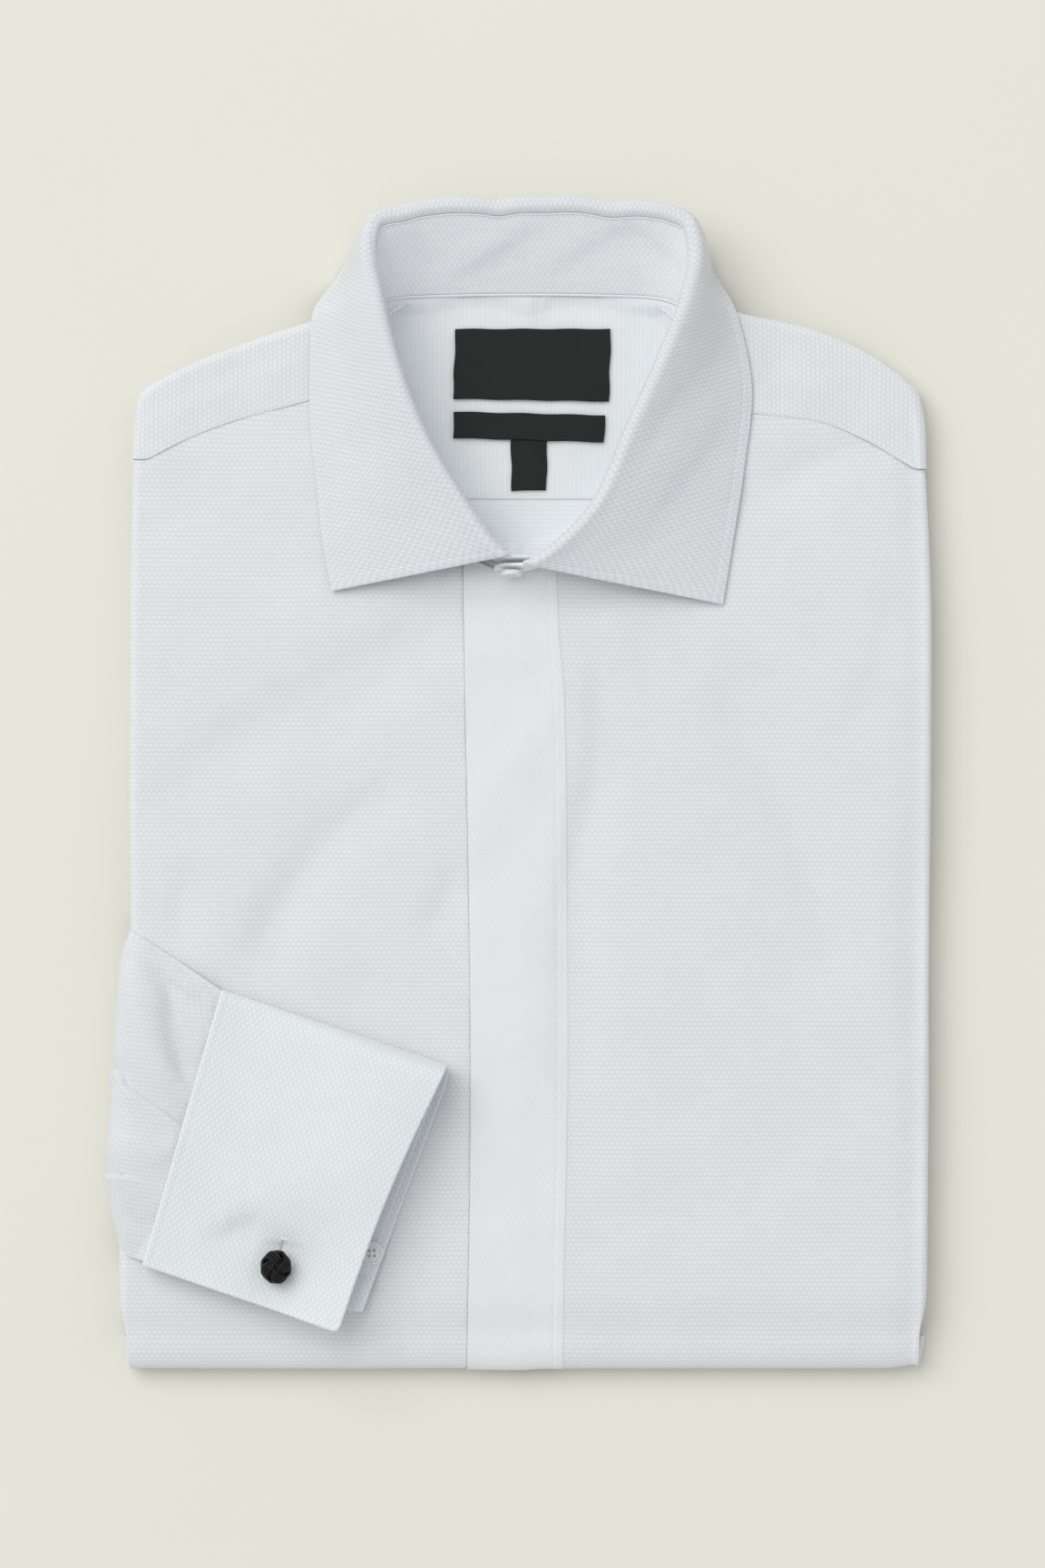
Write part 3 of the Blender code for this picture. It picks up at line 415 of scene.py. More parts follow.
# What shows of the inside through the neck, row by row. At the back it runs up to the neck seam.
INNER_YOKE = table(
    "y left right",
    (185.6, -34, 43),
    (184.4, -44, 53),
    (181, -52, 61),
    (174.5, -57.5, 66.5),
    (163, -59, 68),
    (150, -56.5, 65),
    (134, -50, 58),
    (121, -45, 53),
    (107.4, -37, 45),
)
INNER_BACK = table("y left right", (108.4, -37, 45), (97, -30, 37), (84, -14, 21))
INNER_CREASES = table(
    CREASE,
    (6.5, 183.5, 8.5, 172, 0.3, 1.6, 0.5),
    (12.5, 183.5, 11, 172, -0.3, 1.6, 0.5),
    (9.5, 183, 9.7, 173, 0, 1.4, -0.3),
    (-30, 180, -22, 172.5, 0.5, 2.2, 0.4),
    (-44, 172, -36, 150, 2, 4, 0.5),
    (46, 172, 42, 150, -2, 4, 0.4),
    (-24, 127, -16, 112, 0, 3, 0.4),
    (20, 126, 30, 112, 0, 4, 0.35),
    (-2, 142.3, 26, 142, 0, 1.4, -0.35),
)

LABELS = {
    "label_main": ((-24.4, 144.9), (34.2, 143.9), (34.9, 171.2), (-23.4, 171.2)),
    "label_fit": ((-24.4, 130.2), (32.2, 128.6), (32.9, 138.8), (-24.0, 140.2)),
    "label_size": ((-2.4, 110.3), (10.8, 110.8), (11.1, 131.2), (-2.7, 131.4)),
}

# The collar, from the stand's under end at centre front round the back to its over end.
COLLAR = table(
    "fold_x fold_y fold_z base_x base_y away edge_x edge_y under lie",
    (9, 85.7, 24.5, 9.5, 83.7, 192, -69.5, 72.4, 0, -11),
    (-2.6, 86, 30, -3.6, 83, 192, -69.5, 72.4, 0, -11),
    (-21.5, 109, 33, -25.5, 97.5, 200, -72.8, 90, 0, -11),
    (-35, 132.5, 35, -41.5, 120.5, 203, -75.5, 115, 0, -11),
    (-44.8, 158.5, 36, -53.5, 146.5, 206, -77.9, 142, 0, -11),
    (-50.5, 182, 35.5, -56.5, 163, 200, -77.4, 172.4, 0, -11),
    (-53.2, 198, 34.5, -56, 175.5, 176, -69.8, 188.5, 0.5, -6),
    (-51, 208, 33, -49.5, 182, 135, -60, 198, 0.8, 3),
    (-36, 212.2, 31, -36, 183.9, 97, -40, 195, 1, 17),
    (4, 213.4, 29.5, 4, 184.6, 90, 4, 193.5, 1, 19),
    (46, 212, 31, 45, 183.9, 83, 50, 195, 1, 17),
    (61.5, 207, 33, 58.5, 181.2, 45, 70, 198, 0.8, 3),
    (63.6, 196, 34.5, 64.8, 172.2, 5, 75.6, 189.5, 0.5, -6),
    (60.8, 182, 35.5, 65.2, 160, -18, 82.6, 174, 0, -11),
    (51.5, 157.8, 36, 60.5, 144, -18, 87.6, 146, 0, -11),
    (40.8, 134.1, 35, 49.5, 121, -20, 84.6, 118, 0, -11),
    (26.8, 103.6, 33, 32.5, 96, -11, 80.8, 93, 0, -11),
    (1.8, 82.8, 30, 1.8, 80.3, -13, 76.6, 67.3, 0, -11),
    (-9, 83.2, 26, -9, 80.6, -13, 76.6, 67.3, 0, -11),
)
LAST_ROW = len(COLLAR["under"]) - 1
LEAF_FALL = (
    ("hang_out", 8.0, 1.0),
    ("hang_up", -4.5, -14.0),
    ("lie_up", 4.0, 0.4),
)
# Soft dents in the collar's back, in plan: across the stand's inner face, and in the fold itself.
STAND_CREASES = table(
    CREASE,
    (-19.3, 189.7, 11.8, 212.3, -2, 4.5, 1.5),
    (-29, 190, 2, 213, -2, 5, -0.9),
    (14.6, 190, 45.7, 213, -2, 4.5, 1.4),
    (38.3, 206.3, 58.3, 190.7, 2, 3.5, 1.2),
    (-44, 203, -30, 190, 0, 5, 0.9),
)
FOLD_DENTS = table("x width depth", (-43, 6, 1.2), (-7, 5, 1.1), (35, 6, 1.1), (20, 6, -0.4), (-24, 6, -0.4))

# The cuff's section from the under half's open edge, round its fold, to the upper half's open edge.
CUFF_FOLD_SLEEVE = point(-110.5, -76.1)
CUFF_FOLD_MOUTH = point(-25.8, -103.9)
CUFF_EDGE_MOUTH = point(-66.7, -203.3)
CUFF_EDGE_SLEEVE = point(-140.0, -178.8)
CUFF_UNDER_FOLD_MOUTH = point(-24.6, -106.0)
CUFF_UNDER_EDGE_MOUTH = point(-58.6, -198.0)
CORNER_ROUND = 3.0  # of the cuff's corner at the mouth
CUFF_BOW = 2.2
CUFF_GAPE = 11.0  # how much more the upper half stands off, away from the knot
KNOT_HOLD = 23.0  # how far from the knot the halves are held together
CUFF_TURN = 0.62  # v below which the cuff's plan is the under half's
CUFF_TURN_REACH = 0.2
UPPER_START = 0.6  # v from which the upper half's creases show
UPPER_FADE = 0.06
LINING_SET = 1.25  # how far the inner ply lies inside the outer one
CUFF_SECTION = table(
    "across lift",
    (0.985, 5.5),
    (0.89, 5.2),
    (0.8, 3),
    (0.66, 1.9),
    (0.45, 1.5),
    (0.25, 1.5),
    (0.08, 1.5),
    (0.024, 2.3),
    (0.008, 4.2),
    (0.026, 6.4),
    (0.09, 7.4),
    (0.3, 7.8),
    (0.55, 7.9),
    (0.78, 8),
    (1, 8.3),
)

# The sleeve's folds along its length: under the packet, at the left edge and inside the cuff.
SLEEVE_EDGES = table(
    "upper_x upper_y lower_x lower_y",
    (-156, -60, -156, -168),
    (-144.5, -55.2, -146.5, -172.6),
    (-141, -57, -145, -175.2),
    (-108.2, -78.9, -137.2, -177.2),
)
SLEEVE_LOFT = table(
    "across lift",
    (-1, 1.7),
    (-0.8, 4.4),
    (-0.45, 6.4),
    (-0.1, 6),
    (0.1, 5.4),
    (0.25, 6),
    (0.6, 5.6),
    (0.9, 4),
    (1, 1.7),
)
SLEEVE_SOFT = 4.0  # how gradually it starts to turn round the side
SLEEVE_TURN = 0.012  # share of the way round it that each of its folds takes
SLEEVE_CUFFED = 0.78  # u from which it goes inside the cuff
SLEEVE_TOP = (9, 6.2)  # greatest height over the packet, outside and inside the cuff
SLEEVE_LEAST = 0.9  # least distance between its two layers
# Pleats laid into the sleeve at its cuff: where each starts and ends across it, its height and its reach.
PLEATS = table("start end height reach fades", (0.107, -0.01, 1.7, 0.18, 0), (-0.54, -0.46, 1.4, 0.16, 1))

# The folded edges that show below the upper layers: height of each, its roundness and how far it comes out.
EDGE_FOLDS = table("z radius out", (1.25, 1.25, 2.3), (3.6, 1.15, 3.4), (5.8, 1.1, 2.2))


def blend(a, b, share):
    """From a at share 0 to b at share 1."""
    return a + (b - a) * share


def unit(t):
    """From 0 to 1 and no further."""
    return np.clip(t, 0, 1)


def bell(t):
    """A round hump of height 1 at 0, which is gone by 2 on each side."""
    return np.exp(-(t**2))


def ease(t):
    """0 to 1 with a flat start and end."""
    t = unit(t)
    return t * t * (3 - 2 * t)


def spline(at, knots, values):
    """A smooth curve through values at rising knots, which never overshoots them."""
    steps = np.diff(values) / np.diff(knots)
    product = steps[:-1] * steps[1:]
    total = np.where(product > 0, steps[:-1] + steps[1:], 1)
    inner = np.where(product > 0, 2 * product / total, 0)
    slopes = np.concatenate([steps[:1], inner, steps[-1:]])
    i = np.clip(np.searchsorted(knots, at, side="right") - 1, 0, len(knots) - 2)
    span = knots[i + 1] - knots[i]
    s = unit((at - knots[i]) / span)
    start = values[i] * (1 + 2 * s) * (1 - s) ** 2 + slopes[i] * span * s * (1 - s) ** 2
    end = values[i + 1] * s**2 * (3 - 2 * s) + slopes[i + 1] * span * s**2 * (s - 1)
    return start + end


def row(rows, column, share):
    """A column read smoothly along its rows, with share from 0 at the first row to 1 at the last."""
    values = rows[column]
    return spline(np.asarray(share) * (len(values) - 1), np.arange(len(values)), values)


def plan(rows, name, share):
    """A point in plan read along its rows, from the columns for its x and its y."""
    return row(rows, name + "_x", share), row(rows, name + "_y", share)


def edge_x(rows, y):
    """The x of an edge at y, from a table of its points."""
    return spline(y, rows["y"], rows["x"])


def left_fold(y):
    """The x at which the left side starts to turn down."""
    return edge_x(LEFT_EDGE, y) + SIDE_RADIUS


def right_fold(y):
    """The x at which the right side starts to turn down."""
    return edge_x(RIGHT_EDGE, y) - SIDE_RADIUS


def height_share(x, y):
    """The packet's height there over its full height: lower at the shoulders, lowest at the neck's back."""
    share = blend(1, SHOULDER_SHARE, ease((y - SHOULDER_RUN[0]) / SHOULDER_RUN[1]))
    middle, half, fade = NECK_DIP
    dip = ease((half - np.abs(x - middle)) / fade) * ease((y - NECK_DIP_RUN[0]) / NECK_DIP_RUN[1])
    return blend(share, NECK_SHARE, dip)


def trough_depth(x, y):
    """How far the troughs press the surface down: a soft round valley along each line."""
    total = np.zeros(np.broadcast(x, y).shape)
    for x0, y0, x1, y1, width, depth in zip(*TROUGHS.values()):
        along = unit(((x - x0) * (x1 - x0) + (y - y0) * (y1 - y0)) / ((x1 - x0) ** 2 + (y1 - y0) ** 2))
        away = np.hypot(x - blend(x0, x1, along), y - blend(y0, y1, along))
        total += depth * bell(away / width)
    return total


def settle(x, y, z):
    """The packet's even layers pressed to their real height."""
    return x, y, z * height_share(x, y) - trough_depth(x, y) * z / HEIGHT


def creases(rows, x, y):
    """Depth of the creases in rows: a round valley along each bowed line, which fades out at its ends."""
    total = np.zeros(np.broadcast(x, y).shape)
    for x0, y0, x1, y1, bow, width, depth in zip(*rows.values()):
        length = math.hypot(x1 - x0, y1 - y0)
        ux, uy = (x1 - x0) / length, (y1 - y0) / length
        along = ((x - x0) * ux + (y - y0) * uy) / length
        away = (y - y0) * ux - (x - x0) * uy - bow * 4 * along * (1 - along)
        ends = ease((along / CREASE_END + 1) / 2) * ease(((1 - along) / CREASE_END + 1) / 2)
        reach = width * np.where(away * (ux + uy) < 0, LONG_FLANK, 1)
        total += depth * bell(away / reach) * ends
    return total


def waver(x, y):
    """Slow unevenness of pressed cloth: four crossing waves, 35 to 80 mm long, up to 0.3 mm high."""
    first = np.sin(x / 9.1 + 1.3) * np.sin(y / 12.7 + 0.4) + np.sin((x + y) / 17.3)
    second = np.sin((x - 1.4 * y) / 13.1 + 2.2) + np.sin(y / 5.7 + np.sin(x / 21.0) * 2.0) * 0.5
    return 0.09 * (first + second)


def skin(px, py, lift, soft=0.0):
    """A point of the cloth that covers the packet, lift over it.

    px and py are the plan position. Past a side fold px goes round the fold, and past ROLL_START py
    goes round the bottom fold, both measured along the cloth. soft is how gradually a side turn starts.
    """
    left, right = left_fold(py), right_fold(py)
    side = np.where(px < (left + right) / 2, -1, 1)
    past_left = (left - px + np.hypot(left - px, soft)) / 2
    past_right = np.maximum(px - right, 0)
    past = past_left + past_right
    turn = np.minimum(past / SIDE_RADIUS, math.pi)
    tuck = np.maximum(past - math.pi * SIDE_RADIUS, 0)
    x = px + past_left - past_right + side * ((SIDE_RADIUS + lift) * np.sin(turn) - tuck)
    reach = HALF - SIDE_RADIUS + (SIDE_RADIUS + lift) * np.cos(turn)
    roll = np.clip((ROLL_START - py) / ROLL_RADIUS, 0, math.pi)
    depth = (reach - lift) * (ROLL_REACH + FALL) / HALF + lift
    y = np.maximum(py, ROLL_START) - depth * np.sin(roll)
    return settle(x, y, HALF + reach * np.cos(roll))


def top(x, y):
    """Height of the covering cloth in plan."""
    return settle(x, y, np.full(np.broadcast(x, y).shape, HEIGHT))[2]


def front_cloth(u, v, rows, sign):
    """Where a point of a front lies on the cloth: u from its side fold in, v from under the hem up."""
    wrap = SIDE_WRAP * unit(1 - u / SIDE_COLUMNS)
    across = unit((u - SIDE_COLUMNS) / (1 - SIDE_COLUMNS))
    up = unit((v - HEM_ROWS) / (1 - HEM_ROWS))
    roll = math.pi * ROLL_RADIUS * unit(1 - v / HEM_ROWS)
    py = blend(ROLL_START, row(rows, "y", across), up) - roll
    fold = left_fold(py) if sign < 0 else right_fold(py)
    px = blend(row(rows, "hem_x", across), row(rows, "x", across), ease(up * HEM_PULL))
    start = blend(rows["hem_x"][0], rows["x"][0], ease(up * HEM_PULL))
    px = px + (fold - start) * (1 - across) + sign * wrap
    if sign > 0:
        end = blend(rows["hem_x"][-1], rows["x"][-1], ease(up * HEM_PULL))
        px = px + (edge_x(PLACKET_SEAM, py) - end) * ease((across - 0.75) / 0.25)
    return px, py, across, up


def front_lift(px, py):
    """How far the front's creases and unevenness take it off the packet: less near its folds."""
    inside = ease((right_fold(py) + 6 - px) / 8) * ease((px - left_fold(py) + 6) / 8)
    fades = ease((py - ROLL_START + 25) / 30) * inside
    foot, side = (py - ROLL_START) / FALL_REACH, (right_fold(py) - px) / FALL_REACH
    half_way = math.pi * ROLL_RADIUS
    turned = ease((py - ROLL_START + half_way) / (0.55 * half_way))
    fall = FALL * bell(np.maximum(foot, 0)) * turned
    fall = fall + SIDE_FALL * bell(side * 1.4) * ease((side + 0.8) / 1.2)
    return (waver(px, py) - creases(FRONT_CREASES, px, py)) * blend(CALM, 1, fades) - fall


def front(u, v, rows, sign):
    """A front: the covering cloth with its creases, dipping under the yoke's seam and the placket."""
    px, py, across, up = front_cloth(u, v, rows, sign)
    seam = ease((YOKE_SEAM_END - across) / 0.06) * ease((up - 0.985) / 0.015)
    hidden = ease((px - edge_x(PLACKET_EDGE, py) - 1.2) / 2.0) * (px < 5)
    return skin(px, py + 0.9 * seam, front_lift(px, py) - UNDER_YOKE * seam - UNDER_PLACKET * hidden)


def right_front(u, v):
    return front(u, v, RIGHT_FRONT, -1)


def left_front(u, v):
    return front(1 - u, v, LEFT_FRONT, 1)


def placket_cloth(u, v):
    """Where a point of the placket lies on the cloth: u from its free edge to its seam, v upwards."""
    up = unit((v - PLACKET_ROWS) / (1 - PLACKET_ROWS))
    roll = PLACKET_TURN * math.pi * ROLL_RADIUS * unit(1 - v / PLACKET_ROWS)
    end = PLACKET_TOP + PLACKET_RISE * (np.hypot(2 * u - 1, PLACKET_BEND) - PLACKET_BEND)
    py = blend(ROLL_START, end, up) - roll
    left = edge_x(PLACKET_EDGE, py)
    right = edge_x(PLACKET_SEAM, py) + 0.5
    return blend(left, right, u), py


def placket(u, v):
    """The fly strip: over the right front, down to the left front's seam, with a band along that seam."""
    px, py = placket_cloth(u, v)
    from_edge, from_seam = u * PLACKET_WIDTH, (1 - u) * PLACKET_WIDTH
    groove = bell((from_seam - PLACKET_BAND - 0.2) / 0.6)
    band = 0.1 * (ease((PLACKET_BAND - from_seam) / 0.8) - groove)
    lift = PLACKET_LIFT * (1 - ease(px / PLACKET_SLOPE)) + PLACKET_REST + band
    inside = ease(from_edge / 3) * ease(from_seam / 5)
    soft = 0.5 * waver(px * 1.7, py * 1.3) - creases(PLACKET_CREASES, px, py)
    return skin(px, py, front_lift(px, py) + lift + soft * inside)


def outer_yoke(u, v):
    """The yoke: v runs from its seam to the shoulder fold, then round the fold. It laps over the fronts."""
    (seam_x, seam_y), (rim_x, rim_y) = plan(YOKE, "seam", u), plan(YOKE, "rim", u)
    dx, dy = np.subtract(plan(YOKE, "rim", unit(u + 1e-3)), plan(YOKE, "rim", unit(u - 1e-3)))
    length = np.hypot(dx, dy)
    flat = unit(v / YOKE_FLAT)
    turn = SIDE_WRAP / SIDE_RADIUS * unit((v - YOKE_FLAT) / (1 - YOKE_FLAT))
    at = u * (len(YOKE["seam_x"]) - 1)
    to_front = 1 - ease((at - YOKE_NECK[0]) / 0.8) * ease((YOKE_NECK[1] - at) / 0.8)
    seam_y = seam_y - YOKE_LAP * to_front
    x = blend(seam_x, rim_x, flat) - dy / length * SIDE_RADIUS * np.sin(turn)
    y = blend(seam_y, rim_y, flat) + dx / length * SIDE_RADIUS * np.sin(turn)
    x, y, z = settle(x, y, HEIGHT - SIDE_RADIUS + SIDE_RADIUS * np.cos(turn))
    away = flat * np.hypot(rim_x - seam_x, rim_y - seam_y)
    hem = YOKE_HEM * to_front * ease((4.5 - away) / 1.5)
    return x, y, z + hem + (waver(x, y) - creases(YOKE_CREASES, x, y)) * ease(away / 3) * (1 - flat**8)


def neck_reach(x, y):
    """How far inside the neck seam a plan position lies."""
    out_x, out_y = COLLAR["base_x"] - NECK_CENTRE[0], COLLAR["base_y"] - NECK_CENTRE[1]
    angles, reaches = zip(*sorted(zip(np.arctan2(out_y, out_x), np.hypot(out_x, out_y))))
    here = np.arctan2(y - NECK_CENTRE[1], x - NECK_CENTRE[0])
    reach = np.interp(here, angles, reaches, period=2 * math.pi)
    return reach - np.hypot(x - NECK_CENTRE[0], y - NECK_CENTRE[1])


def inner_panel(rows, lift):
    """The shirt's inside seen through the neck: flat, and curved up to the neck seam all round."""

    def shape(u, v):
        y = row(rows, "y", 1 - v)
        x = blend(row(rows, "left", 1 - v), row(rows, "right", 1 - v), u)
        reach = neck_reach(x, y)
        seam = top(x, y) + 0.35 - 1.8 * ease(-reach / 1.5)
        z = blend(INNER_TOP + lift, seam, ease(1.3 - reach / INNER_RISE))
        return x, y, z + 0.5 * waver(x * 1.6, y * 1.6) - creases(INNER_CREASES, x, y)

    return shape


def collar_fold(u):
    """The fold at u round the collar: the neck seam below it, the way out, and the fold's round."""
    away = np.radians(row(COLLAR, "away", u))
    base_x, base_y = plan(COLLAR, "base", u)
    base = np.stack([base_x, base_y, top(base_x, base_y) + SEAM_REST + COLLAR_WALL / 2])
    out = np.stack([np.cos(away), np.sin(away), 0 * away])
    crest = np.stack([*plan(COLLAR, "fold", u), row(COLLAR, "fold_z", u)])
    dent = sum(d * bell((crest[0] - x) / w) for x, w, d in zip(*FOLD_DENTS.values()))
    dent = dent * ease((crest[1] - BACK_START) / 8)
    crest = crest - out * dent - UP * 0.6 * dent
    centre = crest + FOLD_RADIUS * (out - UP)
    rise = centre - base
    start = math.pi / 2 + np.arctan2(rise[2], (rise * out).sum(axis=0))
    return base, out, centre, start


def collar_seam(u):
    """Where the round starts, and the unit direction in which the stand comes up to it."""
    base, out, centre, start = collar_fold(u)
    begin = centre + FOLD_RADIUS * (out * np.cos(start) + UP * np.sin(start))
    along = begin - base
    return begin, along / np.linalg.norm(along, axis=0)


def collar_stand(u, v):
    """The stand: v runs from the neck seam to its seam with the leaf. Its two ends are rounded off."""
    begin, along = collar_seam(u)
    end = np.minimum(u, 1 - u) * LAST_ROW * STAND_ROW
    height = blend(STAND_END_HEIGHT, 1, np.sqrt(1 - unit(1 - end / STAND_END) ** 2))
    base, out = collar_fold(u)[:2]
    place = blend(base, begin - along * LEAF_SEAM, v * height)
    sag = creases(STAND_CREASES, place[0], place[1]) * np.sin(math.pi * unit(v))
    return tuple(place + out * sag)


def collar_leaf(u, v):
    """The leaf: v runs from its seam with the stand, round the fold and down to its free edge."""
    end = np.minimum(u, 1 - u)
    moved, from_edge = rounded_corner(end * FREE_EDGE, (1 - v) * LEAF_DEPTH, POINT_ROUND)
    moved = moved / FREE_EDGE
    u, v = np.where(u < 0.5, moved, 1 - moved), 1 - from_edge / LEAF_DEPTH
    u = blend(1 / LAST_ROW, 1 - 1 / LAST_ROW, u)
    under = row(COLLAR, "under", u)
    out, centre, start = collar_fold(u)[1:]
    along = collar_seam(u)[1]
    carried = LEAF_REST + np.where(COLLAR["under"] < 0.25, top(COLLAR["edge_x"], COLLAR["edge_y"]), 0)
    edge_z = spline(u * LAST_ROW, np.arange(LAST_ROW + 1), carried)
    edge = np.stack([*plan(COLLAR, "edge", u), edge_z])
    sunk = (LEAF_SEAM - 0.25) * unit(1 - v / LEAF_INSIDE)
    fall_by = {name: blend(at_side, at_back, under) for name, at_side, at_back in LEAF_FALL}
    last = np.arctan2(fall_by["hang_out"], -fall_by["hang_up"])
    angle = blend(start, last, unit((v - LEAF_INSIDE) / (LEAF_ROUND - LEAF_INSIDE)))
    rolled = centre + FOLD_RADIUS * (out * np.cos(angle) + UP * np.sin(angle)) - along * sunk
    shoulder = centre + FOLD_RADIUS * (out * np.cos(last) + UP * np.sin(last))
    hang = shoulder + out * fall_by["hang_out"] + UP * fall_by["hang_up"]
    lie = edge + out * row(COLLAR, "lie", u) + UP * fall_by["lie_up"]
    t = unit((v - LEAF_ROUND) / (1 - LEAF_ROUND))
    fall = shoulder * (1 - t) ** 3 + 3 * hang * t * (1 - t) ** 2 + 3 * lie * t**2 * (1 - t) + edge * t**3
    soft = 1.3 * waver(fall[0] * 0.8, fall[1] * 0.8) - creases(LEAF_CREASES, fall[0], fall[1])
    soft = soft * ease(t / 0.3) * ease((1 - t) / 0.3)
    return tuple(np.where(v < LEAF_ROUND, rolled, fall + UP * soft))


def rounded_corner(a, b, radius):
    """Two distances from a corner's sides, moved so that the square corner becomes a quarter circle."""
    x, y = np.clip(radius - a, 0, None), np.clip(radius - b, 0, None)
    shrunk_x = x * np.sqrt(1 - unit(y / radius) ** 2 / 2)
    shrunk_y = y * np.sqrt(1 - unit(x / radius) ** 2 / 2)
    return a + x - shrunk_x, b + y - shrunk_y


def cuff_point(along, across, under):
    """Plan position on the cuff: along from sleeve to mouth, across from its fold to its open edges."""
    fold_mouth = blend(CUFF_FOLD_MOUTH, CUFF_UNDER_FOLD_MOUTH, under)
    edge_mouth = blend(CUFF_EDGE_MOUTH, CUFF_UNDER_EDGE_MOUTH, under)
    fold = blend(CUFF_FOLD_SLEEVE, fold_mouth, along)
    edge = blend(CUFF_EDGE_SLEEVE, edge_mouth, along)
    bowed = blend(fold, edge, across)
    inward = CUFF_EDGE_SLEEVE - CUFF_EDGE_MOUTH
    inward = inward / np.hypot(*inward)
    return bowed + inward * CUFF_BOW * np.sin(math.pi * across) * along * (1 - under)


def cuff_gape(x, y, along, v):
    """How far the upper half stands off: rising from the sleeve to the mouth, and held down at the knot."""
    held = bell(np.hypot(x - KNOT[0], y - KNOT[1]) / KNOT_HOLD)
    return CUFF_GAPE * ease((along - 0.1) / 0.85) * ease((v - 0.5) / 0.2) * (1 - held)


def cuff(u, v):
    """The cuff, folded flat: v goes from the under half's edge round the fold to the upper half's edge."""
    under = ease((CUFF_TURN - v) / CUFF_TURN_REACH)
    to_edge = (1 - row(CUFF_SECTION, "across", v)) * CUFF_HALF
    from_mouth, from_edge = rounded_corner((1 - u) * CUFF_DEPTH, to_edge, CORNER_ROUND)
    x, y = cuff_point(1 - from_mouth / CUFF_DEPTH, 1 - from_edge / CUFF_HALF, under)
    level = blend(top(x, y) + trough_depth(x, y), HEIGHT, 0.5)
    upper = ease((v - UPPER_START) / UPPER_FADE)
    soft = upper * (0.8 * waver(x * 1.2, y * 1.2) - creases(CUFF_CREASES, x, y)) * ease((1 - v) / 0.03)
    return x, y, level + row(CUFF_SECTION, "lift", v) + soft + cuff_gape(x, y, u, v)


def cuff_lining(u, v):
    """The cuff's inner ply: the same fold inside the outer one, set back from the mouth."""
    along = blend(0.04, 0.965, u)
    under = ease((CUFF_TURN - v) / CUFF_TURN_REACH)
    section = row(CUFF_SECTION, "across", v)
    x, y = cuff_point(along, 0.03 + 0.94 * section, under)
    level = blend(top(x, y) + trough_depth(x, y), HEIGHT, 0.5)
    middle = 4.3 + 0.3 * section
    lift = row(CUFF_SECTION, "lift", v)
    inward = LINING_SET * np.where(lift < middle, 1, -1) * unit(np.abs(lift - middle) / 1.5)
    crease = 0.6 * creases(CUFF_CREASES, x, y) * ease((v - UPPER_START) / UPPER_FADE)
    return x, y, level + cuff_gape(x, y, along, v) + lift + inward - crease


def sleeve(u, v):
    """The sleeve, a flat tube: u from under the packet to the cuff, v round it from its lower fold.

    v runs along the outer layer to the upper fold, round that, and back along the layer underneath.
    """
    turns = [0, SLEEVE_TURN, 0.5 - SLEEVE_TURN, 0.5 + SLEEVE_TURN, 1 - SLEEVE_TURN, 1]
    across = np.interp(v, turns, [-1, -1, 1, 1, -1, -1])
    outer = np.interp(v, turns, [0.5, 1, 1, 0, 0, 0.5])
    lower_x, lower_y = plan(SLEEVE_EDGES, "lower", u)
    rise_x, rise_y = np.subtract(plan(SLEEVE_EDGES, "upper", u), (lower_x, lower_y))
    share = (across + 1) / 2 + across * 0.5 * np.sin(math.pi * outer) / np.hypot(rise_x, rise_y)
    px, py = lower_x + rise_x * share, lower_y + rise_y * share
    loft = spline(across, SLEEVE_LOFT["across"], SLEEVE_LOFT["lift"]) - WALL / 2
    run = np.clip((u - 0.33) / 0.67, -0.2, 1)
    for start, end, height, reach, fades in zip(*PLEATS.values()):
        past = blend(start, end, run) - across
        size = height * ease((u - 0.05) / 0.3) * blend(1, ease((0.95 - u) / 0.5), fades)
        step = np.exp(-np.maximum(past, 0) / reach) * ease(past / 0.024 + 0.5)
        loft = loft + size * (step - 0.4 * bell(past / 0.08) * ease(0.5 - past / 0.024))
    inside = ease((1 - np.abs(across)) / 0.2)
    loft = loft + waver(px * 1.5, py * 1.5) - creases(SLEEVE_CREASES, px, py) * inside
    cuffed = ease((u - SLEEVE_CUFFED) / 0.2)
    near = front_lift(px, py) + 0.1 + WALL / 2 + 2.6 * cuffed
    loft = np.minimum(loft, blend(*SLEEVE_TOP, cuffed))
    least = near + SLEEVE_LEAST
    loft = np.maximum(blend(least, loft, np.sqrt(1 - np.abs(across) ** 14)), least)
    return skin(px, py, blend(near, loft, (1 - np.cos(math.pi * outer)) / 2), SLEEVE_SOFT)


def hem(inset, sides="all"):
    """Thickness added at an edge: a soft raised hem out to a stitched groove, inset from the rim."""

    def swell(along, across, rim):
        if sides == "ends":
            rim = np.minimum(along, across[-1:] - across)
        return 0.08 * ease((inset + 0.3 - rim) / 1.0) - 0.14 * bell((rim - inset) / 0.6)

    return swell


